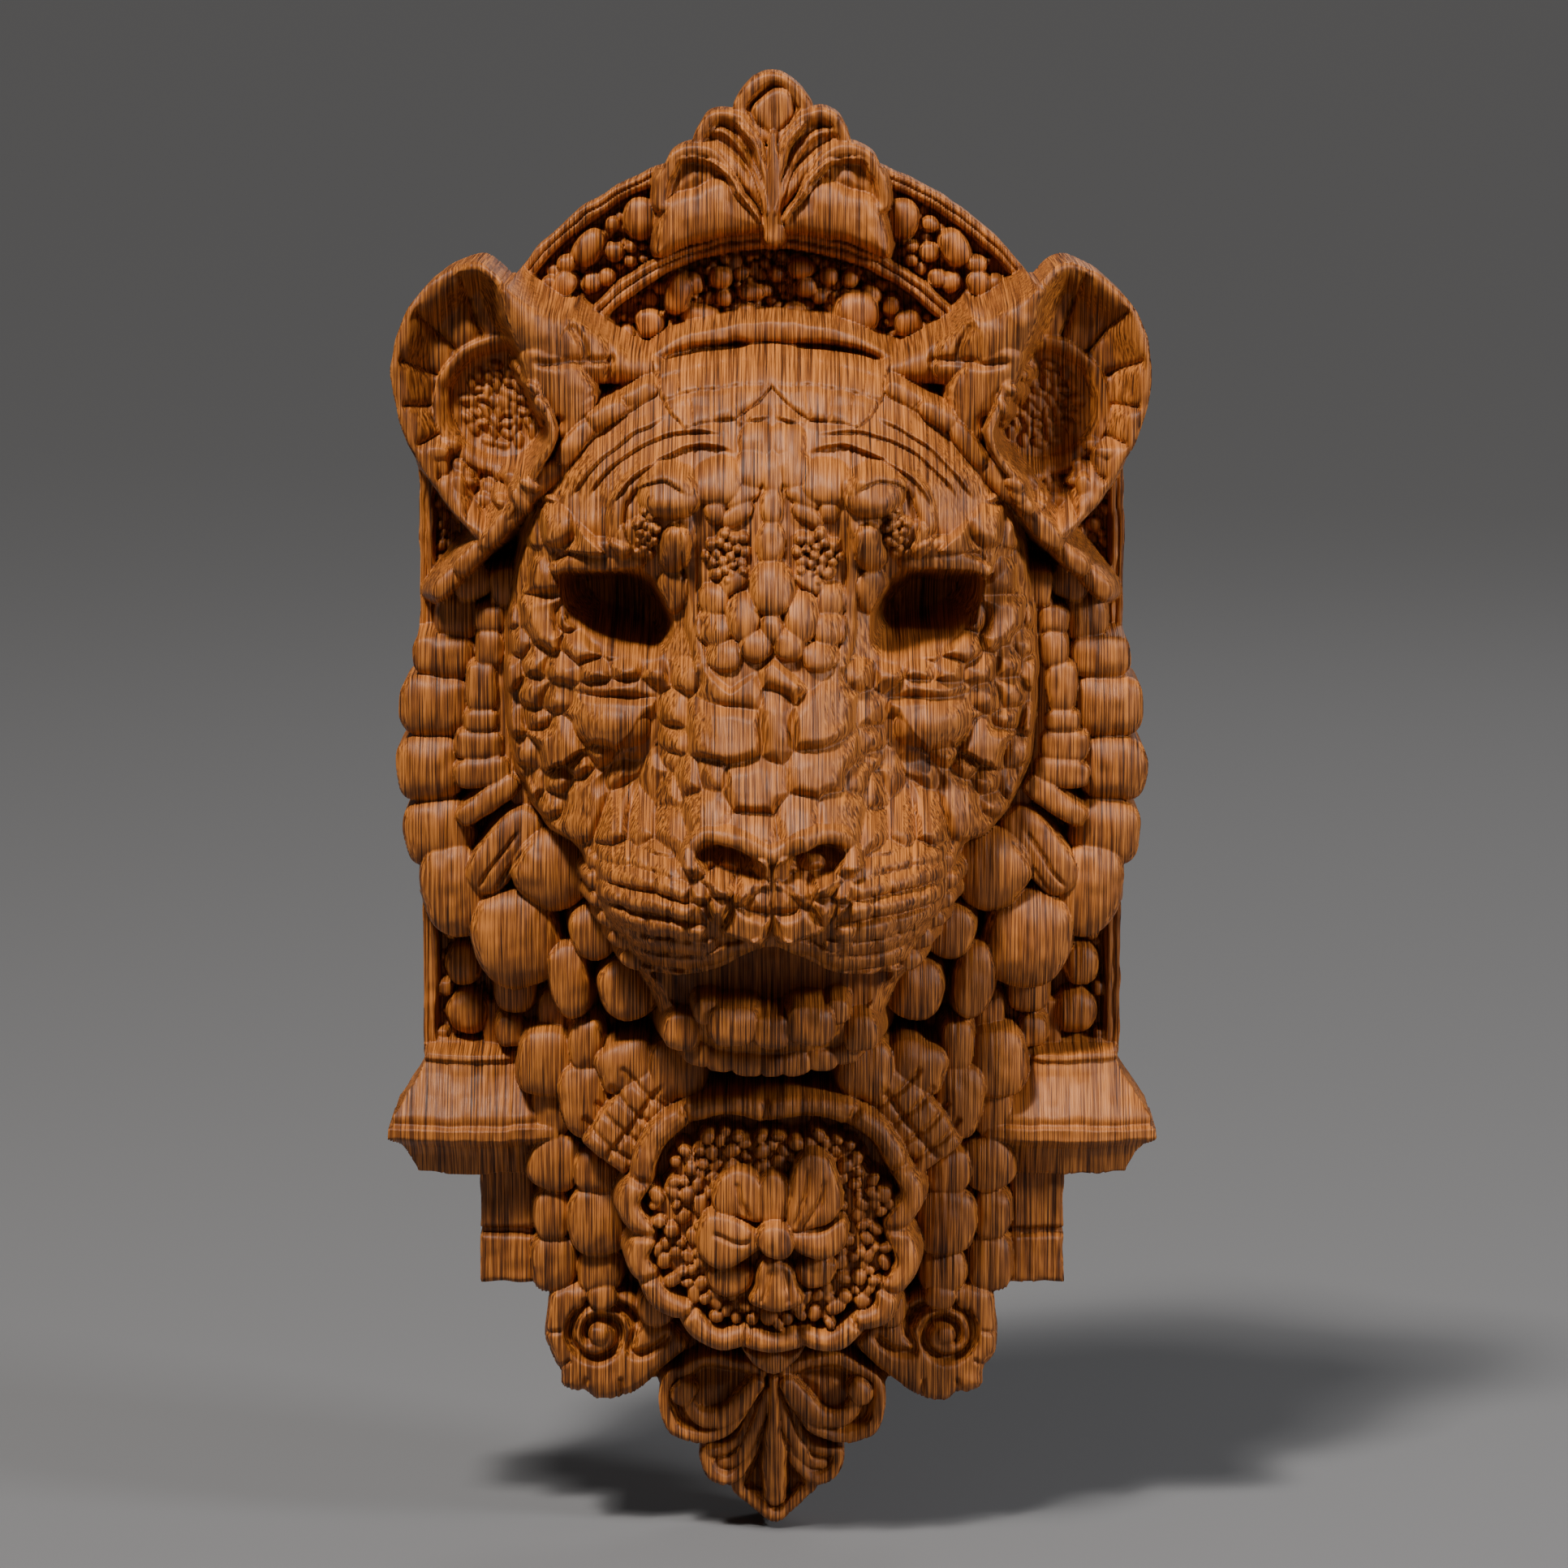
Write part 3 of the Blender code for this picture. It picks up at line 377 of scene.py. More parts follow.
def both_sides(rows):
    """Rows of pixel boxes with a turn, and their mirror images where they lie off the axis."""
    for row in rows:
        left, right, top, bottom, turn = row[:5]
        yield row
        if abs((left + right) / 2 - AXIS_PIXEL) > ON_AXIS:
            yield (2 * AXIS_PIXEL - right, 2 * AXIS_PIXEL - left, top, bottom, -turn, *row[5:])


def bead_rows(relief, rows, single=False, dome_share=0.75, power=2.3):
    """Beads from pixel boxes: x from and to, y from and to, turn and reach."""
    for left, right, top, bottom, turn, reach in rows:
        x, z = spot((left + right) / 2, (top + bottom) / 2, reach)
        half_width = (right - left) / 2 * pixel_size(reach)
        half_height = (bottom - top) / 2 * pixel_size(reach)
        dome = dome_share * min(half_width, half_height)
        relief.bead(x, z, half_width, half_height, turn, reach, dome, power)
        if not single and abs(x) > 2:
            relief.bead(-x, z, half_width, half_height, -turn, reach, dome, power)


# Strewn pebbles: tries for each one, and how close two may come by their radii
TRIES = 12
CROWDING = 0.88


def pebbles(relief, seed, count, box, inside, sizes, ground, rise):
    """Small beads strewn over a ground, which crowd but hardly overlap."""
    draws = np.random.RandomState(seed)
    placed = []
    low_x, high_x, low_z, high_z = box
    for _ in range(count * TRIES):
        x = draws.uniform(low_x, high_x)
        z = draws.uniform(low_z, high_z)
        radius = sizes[0] + (sizes[1] - sizes[0]) * draws.uniform() ** 2
        stretch, turn, lift = draws.uniform(0.7, 1.5), draws.uniform(-60, 60), draws.uniform(0.5, 1)
        if not inside(x, z, radius):
            continue
        if any(math.hypot(x - a, z - b) < CROWDING * (radius + c) for a, b, c in placed):
            continue
        placed.append((x, z, radius))
        relief.bead(x, z, radius, radius * stretch, turn, ground + rise * lift + radius * 0.5)
        if len(placed) >= count:
            break


def board(relief):
    """The board with its arches, sunk grounds and side strips."""
    window, x, z = relief.patch(-150, 150, BOARD_FOOT_Z - 8, 270)
    arch_out = np.hypot(x, z - ARCH_Z) - ARCH_RADIUS
    sides = np.maximum(np.abs(x) - BOARD_HALF_WIDTH, z - SHOULDER_Z)
    outside = np.maximum(np.minimum(arch_out, sides), BOARD_FOOT_Z - z)

    rim = np.interp(-arch_out, (0, 0.5, 2.4, 2.9, 3.4, 5.2, 6.0, 7.0),
                    (22.5, 24, 24, 22.4, 23.6, 23, 21, SUNK_REACH))
    inner = np.hypot(x, z - INNER_ARCH_Z) - INNER_ARCH_RADIUS
    band = np.interp(inner, (-8.0, -7.2, -6.2, -5.6, -3.6, -3.0, -2.4, -0.6, 0.2, 1.2),
                     (0, 24, 27.5, 28.6, 28.6, 27, 28.8, 29.4, 27.5, 0))
    arches = np.maximum(rim, band)

    strip = np.abs(x)
    panel = np.maximum(np.maximum(PANEL_INNER_X - strip, strip - PANEL_OUTER_X),
                       np.maximum(PANEL_FOOT_Z - z, z - PANEL_TOP_Z))
    frame = np.interp(-panel, (-6.2, -5.6, -3.4, -2.9, -2.4, -0.4, 0.4, 1.2),
                      (22, 23.4, 23.4, 22.2, 23.4, 23.4, 21, SUNK_REACH))
    relief.raise_to(window, np.where(z > SHOULDER_Z - 10, arches, frame), outside)


SPANDREL_PEBBLES = (
    (769, 809, 245, 295, 0, 27), (746, 764, 267, 285, 0, 24), (708, 742, 281, 331, -30, 27),
    (687, 709, 316, 338, 0, 25), (680, 708, 334, 370, -35, 26), (667, 685, 341, 359, 0, 24),
    (656, 668, 356, 368, 0, 23), (717, 741, 336, 360, 0, 24), (736, 758, 332, 354, 0, 24),
    (744, 768, 299, 323, 0, 24), (770, 784, 297, 311, 0, 23), (770, 784, 315, 329, 0, 23),
)
CROWN_PEBBLES = (
    (763, 781, 400, 418, 0, 24), (784, 816, 382, 418, 10, 27), (821, 851, 340, 388, -20, 30),
    (843, 867, 338, 362, 0, 26), (876, 902, 330, 356, 0, 27), (840, 884, 376, 406, 0, 27),
    (882, 902, 358, 378, 0, 25), (911, 941, 352, 370, 0, 26), (909, 933, 375, 399, 0, 26),
    (948, 966, 329, 347, 0, 25), (970, 1002, 320, 344, 0, 27), (1010, 1032, 330, 352, 0, 26),
    (1038, 1058, 335, 355, 0, 25), (1061, 1085, 352, 376, 0, 26), (1027, 1083, 361, 417, 0, 32),
    (1088, 1108, 365, 389, 0, 26), (1102, 1136, 383, 416, 0, 27), (1081, 1103, 415, 437, 0, 26),
    (981, 1005, 343, 367, 0, 26), (1000, 1018, 357, 375, 0, 25), (965, 993, 373, 401, 0, 27),
)


def arch_pebbles(relief):
    bead_rows(relief, SPANDREL_PEBBLES)
    bead_rows(relief, CROWN_PEBBLES, single=True)

    def in_outer(x, z, radius):
        out = math.hypot(x, z - ARCH_Z)
        inner = math.hypot(x, z - INNER_ARCH_Z)
        return out < ARCH_RADIUS - 6.5 - radius and inner > INNER_ARCH_RADIUS + 0.5 + radius

    def in_inner(x, z, radius):
        return math.hypot(x, z - INNER_ARCH_Z) < INNER_ARCH_RADIUS - 7.5 - radius

    pebbles(relief, seed=3, count=190, box=(-124, 124, 160, 262), inside=in_outer,
            sizes=(1.5, 4.2), ground=SUNK_REACH, rise=5.0)
    pebbles(relief, seed=4, count=210, box=(-84, 84, 182, 224), inside=in_inner,
            sizes=(1.4, 3.6), ground=SUNK_REACH, rise=7.0)


PANEL_BEADS = (
    (548, 592, 1164, 1217, 0, 28), (550, 604, 1221, 1277, 0, 28), (545, 567, 1120, 1160, 0, 24),
    (592, 612, 1180, 1200, 0, 23), (540, 556, 1208, 1228, 0, 22), (596, 612, 1262, 1280, 0, 22),
    (540, 553, 1268, 1282, 0, 22), (553, 590, 1100, 1140, 0, 26),
)


def panel_beads(relief):
    bead_rows(relief, PANEL_BEADS)
    for side in (1, -1):
        def inside(x, z, radius, side=side):
            within = PANEL_INNER_X + radius < side * x < PANEL_OUTER_X - radius
            return within and PANEL_FOOT_Z + radius < z < PANEL_TOP_Z - radius
        strip = sorted((side * PANEL_INNER_X, side * PANEL_OUTER_X))
        pebbles(relief, seed=7 + side, count=60, box=(*strip, 72, 128), inside=inside,
                sizes=(1.8, 4.5), ground=SUNK_REACH, rise=4.0)
        pebbles(relief, seed=17 + side, count=26, box=(*strip, -100, -50), inside=inside,
                sizes=(1.4, 2.8), ground=SUNK_REACH, rise=3.0)


# The capital from its top down: distance below the top, half width, and reach
CAPITAL_PROFILE = (
    (0, 19.5, 40), (2.5, 20, 41), (4, 19.6, 39.5), (9, 22, 41), (17, 27.5, 45), (24.5, 32.6, 50),
    (26, 32.8, 50.4), (28.5, 32.6, 50), (29.5, 34.6, 52.6), (34, 34.9, 53), (35.5, 33.6, 51),
    (38, 30, 46), (42, 27, 43), (48, 24, 41), (49.8, 23.4, 40.5),
)


def capital(relief, side):
    """A moulded capital with a bowed front."""
    window, x, z = relief.patch(*sorted((side * 82, side * 162)), -160, -100)
    down = CAPITAL_TOP_Z - z
    steps, halves, reaches = zip(*CAPITAL_PROFILE)
    half = np.interp(down, steps, halves)
    reach = np.interp(down, steps, reaches)
    across = np.abs(x - side * CAPITAL_X)
    outside = np.maximum(across - half, np.maximum(down - steps[-1], -down))
    relief.raise_to(window, reach - CAPITAL_BOW * (across / half) ** 2, outside)


# The post's two blocks and the core that joins them: half width, top, foot, reach and edge
POST_BLOCKS = (
    (POST_HALF_WIDTH, -130.0, -178.6, 32.0, 2.5), (POST_HALF_WIDTH, -181.6, POST_FOOT_Z, 32.0, 2.5),
    (POST_HALF_WIDTH - 0.5, -150.0, -199.0, 28.5, 1.0),
)


def post(relief, side):
    """A square post with rounded edges and a groove across it."""
    for half, high, low, reach, edge in POST_BLOCKS:
        left, right = side * POST_X - half, side * POST_X + half
        relief.plate([(left, low), (right, low), (right, high), (left, high)], reach, edge)


BUD = ((903, 138), (907, 121), (923, 99), (936, 91), (950, 88), (965, 91), (981, 103), (994, 119),
       (1001, 138), (985, 160), (953, 178), (920, 160))
BUD_CORE = ((925, 138), (934, 123), (956, 109), (974, 115), (978, 144), (955, 166), (936, 155))
UPPER_LEAF = ((850, 196), (854, 172), (858, 159), (869, 142), (886, 134), (905, 137), (919, 144),
              (936, 166), (946, 186), (950, 230), (948, 275), (925, 240), (895, 205), (870, 190))
MIDDLE_LEAF = ((808, 258), (808, 224), (817, 206), (825, 190), (843, 179), (865, 177), (880, 182),
               (901, 204), (919, 240), (936, 268), (925, 285), (880, 262), (840, 262))
LOWER_LEAF = ((806, 318), (812, 262), (828, 242), (854, 234), (870, 225), (892, 222), (914, 242),
              (936, 266), (949, 284), (905, 291), (850, 301))
PALMETTE_RIBS = (
    ((948, 276), (934, 222), (912, 180), (890, 162), (874, 164)),
    ((949, 268), (942, 214), (926, 172), (908, 152)),
    ((940, 276), (916, 236), (886, 206), (858, 196), (836, 200)),
    ((943, 282), (925, 256), (905, 232)),
)
PALMETTE_STEM = ((953, 292), (953, 250), (953, 205), (953, 166))


def leaf_pair(relief, pixels, reach, rim, hollow):
    outline = smooth_outline(pixels, reach)
    for place in HALVES:
        relief.shell(place(outline), reach, rim, hollow)


def rib_pair(relief, pixels, reach, width, rise):
    line = smooth_line(pixels, reach)
    for place in HALVES:
        relief.ridge(place(line), width, rise)


def groove_pair(relief, line, width, depth, taper=True):
    for place in HALVES:
        relief.groove(place(line), width, depth, taper)


def top_palmette(relief):
    """The upright palmette over the arch: a bud and three pairs of curling leaves."""
    relief.shell(smooth_outline(BUD, 38), 38, 4.5, 6)
    relief.plate(smooth_outline(BUD_CORE, 39), 39, 2.5, 2, 6)
    leaf_pair(relief, UPPER_LEAF, 41, 4.0, 5)
    leaf_pair(relief, MIDDLE_LEAF, 43, 4.2, 6)
    for pixels in PALMETTE_RIBS:
        rib_pair(relief, pixels, 41, 3.0, 3.2)
    lower_leaf = smooth_outline(LOWER_LEAF, 46)
    for place in HALVES:
        relief.plate(place(lower_leaf), 46, 4, 6, 13)
    relief.leaf(smooth_line(PALMETTE_STEM, 44, 4), (4.2, 3.2, 2.6, 1.6), (45, 46, 45, 42), 3)


EAR_OUTLINE = (
    (116, 221), (126, 219), (137, 212), (147, 200), (152, 184), (152, 169), (148, 154), (142, 140),
    (132, 125), (119, 111), (110, 112), (98, 131), (86, 152), (90, 168), (97, 187), (103, 204),
    (108, 215),
)
EAR_RIM_REACH, EAR_LEAN, EAR_CUP_REACH = 88, 30, 36
EAR_INNER_X, EAR_LEAN_WIDTH = 86, 42
EAR_CUP = (108.0, 163.0)
EAR_RING, EAR_RING_HALF_WIDTH = 25.0, 3.4
EAR_TILES, EAR_TILE_DEPTH = 15, 5.0
# Rings of beads in the cup: radius, number of beads and their size
EAR_BEAD_RINGS = (4.5, 6, 2.2), (8.5, 11, 2.1), (12.5, 15, 2.0), (16.5, 15, 2.3)
EAR_CHIPS = 26


def ear(relief, side):
    """An ear: a rim that leans back, radial tiles, a ring and a cluster of pebbles in the cup."""
    outline = [(side * x, z) for x, z in curve_through(EAR_OUTLINE, 5, True)]
    window, x, z = relief.patch_round(outline, 12)
    outside = polygon_distance(x, z, outline)
    depth = np.maximum(-outside, 0)
    lean = np.clip((side * x - EAR_INNER_X) / EAR_LEAN_WIDTH, 0, 1)
    rim = EAR_RIM_REACH - EAR_LEAN * lean
    wall = eased((depth - 2.4) / (3.5 + 10.5 * lean))
    top = rim + (EAR_CUP_REACH + 10 - rim) * wall
    centre_x, centre_z = side * EAR_CUP[0], EAR_CUP[1]
    round_cup = np.hypot(x - centre_x, z - centre_z)
    top = top - 10 * eased((34 - round_cup) / 22) * wall
    top = top - 2.0 * (1 - rounded(depth / 2.5))
    angle = np.arctan2(z - centre_z, side * (x - centre_x)) / (2 * np.pi) * EAR_TILES
    wave = np.abs(np.sin(np.pi * angle))
    tiled = eased((depth - 2.0) / 2) * eased((round_cup - EAR_RING - 3) / 2)
    top = top + EAR_TILE_DEPTH * tiled * (rounded(wave) - 1)
    ring = np.abs(round_cup - EAR_RING) / EAR_RING_HALF_WIDTH
    top = top + EAR_RING_HALF_WIDTH * np.sqrt(np.clip(1 - ring ** 2, 0, 1)) * wall
    relief.raise_to(window, top, outside)
    draws = np.random.RandomState(31)
    ground = relief.reach.copy()
    beads = [(0.0, 0.0, 3.0)]
    for ring_radius, count, size in EAR_BEAD_RINGS:
        for index in range(count):
            turn = 2 * math.pi * (index + 0.5 * draws.uniform()) / count
            beads.append((ring_radius * math.cos(turn), ring_radius * math.sin(turn), size))
    for _ in range(EAR_CHIPS):
        turn = math.radians(draws.uniform(215, 330))
        beads.append((draws.uniform(28, 40) * math.cos(turn), draws.uniform(28, 40) * math.sin(turn),
                      draws.uniform(2.2, 3.6)))
    for across, up, size in beads:
        bead_x, bead_z = centre_x + side * across, centre_z + up
        row = np.searchsorted(relief.z, bead_z)
        column = np.searchsorted(relief.x, bead_x)
        if relief.outside[row, column] < -5:
            turn = draws.uniform(0, 90)
            relief.bead(bead_x, bead_z, size * 0.9, size * 1.6, turn, ground[row, column] + 2.2,
                        dome=2.4)


FLANK_LINE = ((622, 360), (646, 396), (676, 424), (728, 446), (780, 458), (812, 462))
FLANK_FOOT = ((660, 440), (684, 474), (706, 510), (700, 532))
FLANK_GROOVES = (
    ((652, 446), (690, 449), (742, 446), (760, 450)), ((742, 414), (750, 440), (748, 496)),
    ((700, 400), (716, 424), (722, 446)),
)


def ear_flank(relief):
    """The slope from each ear's inner rim down to the crown, in a few large plates."""
    line = smooth_line(FLANK_LINE, 78, 5)
    foot = smooth_line(FLANK_FOOT, 80, 5)
    for place in HALVES:
        relief.leaf(place(foot), (7, 12, 12, 5), (84, 82, 80, 78), 8)
        relief.leaf(place(line), (3, 8, 14, 11, 7, 5), (86, 86, 82, 74, 67, 62), 9)
        for pixels in FLANK_GROOVES:
            relief.groove(place(smooth_line(pixels, 80, 5)), 3.2, 3.0)


# Beads as pixel boxes of the left half: x from and to, y from and to, turn and reach
FRINGE = (
    (537, 590, 733, 790, -6, 46), (508, 584, 783, 838, -4, 48), (491, 580, 833, 912, 0, 50),
    (487, 572, 909, 989, 2, 51), (496, 584, 985, 1069, 8, 51),
)
BULBS = (
    (518, 604, 1040, 1160, 14, 55), (580, 690, 1098, 1224, 14, 62), (632, 728, 1026, 1126, 45, 66),
    (701, 760, 1116, 1186, 20, 68), (677, 726, 1164, 1258, 8, 64), (738, 809, 1184, 1262, 20, 72),
)
INNER_RING = (
    (586, 622, 746, 783, 0, 53), (586, 620, 779, 824, 0, 54), (574, 612, 818, 879, 0, 55),
    (572, 612, 875, 903, 0, 55), (560, 620, 899, 941, 0, 55), (560, 628, 935, 972, 8, 56),
    (558, 644, 973, 1003, 36, 57), (560, 680, 1022, 1080, 52, 59),
    (604, 640, 700, 748, 10, 54), (556, 606, 696, 740, 30, 50),
)
HANGING_SCALES = (
    (637, 707, 1270, 1356, -6, 56), (702, 741, 1258, 1320, 0, 60), (690, 752, 1312, 1408, 10, 61),
    (652, 716, 1400, 1472, -20, 50), (705, 766, 1416, 1474, 0, 54), (735, 812, 1284, 1352, 20, 67),
    (800, 870, 1284, 1362, 0, 72), (656, 702, 1334, 1404, 0, 48), (664, 712, 1216, 1282, 0, 44),
    (610, 660, 1190, 1250, 0, 44), (612, 648, 1252, 1292, 0, 42),
)
SIDE_BEADS = (
    (656, 702, 1466, 1530, 0, 46), (698, 774, 1462, 1552, 0, 54), (654, 710, 1520, 1596, 0, 44),
    (710, 768, 1538, 1598, 0, 47),
)
RIDGED_PETAL = ((588, 1096), (612, 1062), (640, 1024)), ((606, 1102), (630, 1070), (656, 1034))
MANE_GROUND = ((600, 700), (545, 780), (520, 880), (520, 990), (548, 1090), (610, 1190), (660, 1300),
               (700, 1420), (951, 1420))


def mane(relief):
    """The fringe of blocks, the ring of petals inside it and the scales that hang below."""
    ground = smooth_line(MANE_GROUND, 32, 4)
    relief.plate(ground + flipped(ground)[::-1], 32, 2)
    bead_rows(relief, FRINGE, dome_share=0.65, power=3.2)
    bead_rows(relief, BULBS, dome_share=0.6, power=2.35)
    bead_rows(relief, INNER_RING, dome_share=0.6, power=3.2)
    bead_rows(relief, HANGING_SCALES, dome_share=0.55, power=3.0)
    bead_rows(relief, SIDE_BEADS, dome_share=0.6, power=2.8)
    for pixels in RIDGED_PETAL:
        groove_pair(relief, spots(pixels, 59), 1.8, 1.8)


LOWER_BACKING = (
    (0, -84), (119, -84), (119, -157), (102, -157), (102, -199), (90, -206), (88, -222), (80, -238),
    (62, -245), (44, -243), (32, -262), (24, -274), (13, -288), (0, -298),
)


def fit_face():
    """Weights of the smooth sheet through the face's cross sections."""
    rows = [(x, z, reach) for z, pairs in FACE_SECTIONS for x, reach in pairs]
    rows += [(-x, z, reach) for x, z, reach in rows if x]
    places = np.array([row[:2] for row in rows], dtype=float)
    reaches = np.array([row[2] for row in rows], dtype=float)
    count = len(rows)
    system = np.zeros((count + 3, count + 3))
    system[:count, :count] = sheet_kernel(places[:, 0], places[:, 1], places)
    system[:count, :count] += FACE_SMOOTH * np.eye(count)
    system[:count, count] = 1
    system[:count, count + 1:] = places
    system[count:, :count] = system[:count, count:].T
    return places, np.linalg.solve(system, np.concatenate([reaches, np.zeros(3)]))


def sheet_kernel(x, z, places):
    squared = ((x[:, None] - places[:, 0]) ** 2 + (z[:, None] - places[:, 1]) ** 2) / 100.0
    return squared * np.log(squared + 1e-9)


def face_reach(sheet, x, z):
    places, weights = sheet
    flat_x, flat_z = np.ravel(x).astype(float), np.ravel(z).astype(float)
    bend = sheet_kernel(flat_x, flat_z, places) @ weights[:-3]
    level = weights[-3] + flat_x * weights[-2] + flat_z * weights[-1]
    return (bend + level).reshape(np.shape(x))


# Broad swellings of the face: pixel centre, half width and height, turn, and rise
SWELLINGS = (
    (827, 625, 50, 62, 0, 5), (735, 655, 60, 38, 12, 4), (770, 826, 66, 24, 8, 4),
    (752, 888, 58, 36, 0, 5), (690, 1000, 60, 60, 0, 2), (840, 1105, 84, 62, 0, 7),
    (762, 756, 64, 44, 0, -8), (700, 1046, 40, 22, 0, -4), (770, 960, 36, 40, 0, -3),
)
# Places without cells, by reach and outline: the forehead's plates, the column between the brows,
# the pleats of the temple, the eyelids and the muzzle's folds
PLAIN_PLACES = (
    (90, ((951, 400), (800, 420), (803, 459), (812, 490), (826, 511), (844, 525), (864, 520),
          (905, 516), (926, 502), (951, 486))),
    (100, ((860, 545), (951, 520), (1043, 545), (1050, 700), (1050, 800), (1000, 838), (951, 800),
           (903, 838), (853, 800), (853, 700))),
    (100, ((808, 456), (747, 505), (700, 560), (668, 610), (690, 624), (764, 690), (850, 640),
           (850, 545), (908, 527), (904, 514), (841, 523), (814, 492))),
    (100, ((690, 716), (690, 690), (780, 684), (800, 640), (850, 640), (856, 800), (800, 820),
           (730, 800), (700, 770))),
    (126, ((726, 1056), (838, 1056), (852, 1100), (868, 1130), (892, 1146), (930, 1160), (930, 1200),
           (776, 1200), (738, 1140))),
)
# Cells of the face by pixel centre: half width and height, turn, and rise
FACE_CELLS = (
    (736, 658, 30, 30, 0, 3.4), (688, 645, 24, 20, 0, 3.0), (655, 650, 12, 18, 0, 2.5),
    (665, 714, 22, 19, 0, 3.0), (668, 764, 22, 32, 0, 3.0), (640, 700, 12, 22, 0, 2.5),
    (905, 843, 33, 30, 0, 1.7), (898, 903, 37, 34, 0, 1.9), (876, 955, 17, 18, 0, 1.8),
    (874, 1000, 23, 26, 0, 1.9),
    (753, 888, 46, 30, 0, 2.4), (762, 846, 42, 12, 4, 2.5), (688, 913, 28, 24, 20, 3.6),
    (658, 813, 15, 20, 0, 2.8), (660, 853, 15, 18, 0, 2.8), (664, 886, 16, 13, 0, 2.8),
    (738, 929, 12, 15, -40, 3.4), (716, 944, 12, 16, -40, 3.4), (690, 961, 12, 15, -40, 3.4),
    (655, 974, 11, 20, -10, 2.8), (712, 1002, 22, 52, -30, 2.8), (758, 1008, 17, 38, -14, 3.0),
    (790, 1010, 14, 30, 0, 2.8), (826, 1024, 14, 22, 0, 2.4), (786, 916, 12, 34, -34, 2.4),
    (766, 952, 12, 26, -36, 2.6), (808, 952, 13, 26, -16, 2.4),
    (828, 874, 14, 18, 0, 2.2), (828, 909, 14, 15, 0, 2.2), (822, 937, 13, 11, 0, 2.2),
    (822, 970, 14, 18, 0, 2.2),
    (772, 1047, 16, 11, 0, 2.4), (809, 1050, 22, 13, 0, 2.4), (862, 1098, 14, 13, 0, 2.8),
    (884, 1120, 15, 16, 0, 3.2), (916, 1140, 24, 20, 0, 3.2), (934, 1110, 12, 14, 0, 2.0),
)
# Cells of the nose's bridge on the middle line and to its right, which have no mirror image
BRIDGE_CELLS = (
    (972, 828, 40, 34, -35, 2.2), (1007, 884, 34, 44, -14, 1.9), (958, 892, 20, 46, 0, 1.9),
    (933, 968, 37, 31, 0, 2.0), (1014, 950, 46, 31, 5, 1.9), (928, 1026, 29, 24, 0, 1.8),
    (984, 1012, 26, 32, 0, 1.8), (1034, 1006, 26, 32, 0, 1.8),
)
LEFT_BRIDGE = slice(6, 10)
# Beads of the brow and of the column between the eyes: box, turn, rise, and squareness
BROW_BEADS = (
    (786, 866, 574, 636, 0, 9.0, 2.4), (855, 916, 566, 620, 8, 6.5, 2.6),
    (905, 948, 546, 602, -20, 4.5, 2.4), (910, 956, 522, 567, 0, 4.0, 2.4),
    (812, 850, 642, 708, -8, 8.5, 2.4), (806, 848, 700, 756, -6, 6.5, 2.4),
    (704, 804, 862, 922, 0, 7.0, 2.5), (704, 782, 660, 694, 0, 6.0, 2.8),
    (936, 967, 548, 612, 0, 4.0, 1.8), (937, 965, 598, 648, 0, 4.5, 2.2),
    (933, 968, 640, 697, 0, 5.0, 2.2), (923, 980, 690, 758, 0, 9.0, 2.2),
    (937, 966, 750, 794, 0, 6.0, 2.2), (893, 938, 730, 792, 0, 7.0, 2.2),
    (858, 901, 752, 795, 0, 5.5, 2.6), (860, 898, 718, 760, 0, 5.0, 2.4),
    (910, 952, 772, 815, 0, 6.5, 2.2), (868, 916, 788, 826, 0, 5.5, 2.4),
    (868, 894, 612, 645, 0, 4.0, 2.2), (889, 937, 596, 624, 28, 3.5, 2.4),
    (884, 932, 622, 646, 34, 3.5, 2.4), (880, 926, 704, 730, 34, 4.0, 2.4),
    (760, 800, 640, 684, 0, 3.0, 2.6),
)
# Clusters of small beads: pixel centre, half width and height, number, bead radius and rise
BROW_CLUSTERS = ((896, 684, 33, 36, 20, 2.2, 5.0), (797, 656, 17, 34, 16, 1.9, 5.0))
CLUSTER_TURN, CLUSTER_SPREAD = 2.4, 0.86
# Fills between the named cells: columns and rows, their steps in pixels, and where they start
FILL_COLUMNS, FILL_ROWS = 12, 21
FILL_STEP_X, FILL_STEP_Y = 37, 33
FILL_START = (940, 530)
# Half width and height of a fill in pixels, its rise, and the room that it needs
FILL_HALF_WIDTH, FILL_HALF_HEIGHT, FILL_RISE = 19, 16, 2.6
FILL_ROOM = 1.4
CELL_DEPTH = 2.3
CELL_ROUNDING = 4.6
CELL_SQUARENESS = 2.8
# Each cell leans a little, differs in height, and rises towards its foot
CELL_LEAN, CELL_UNEVENNESS, CELL_FOOT_RISE = 0.04, 0.4, 0.35


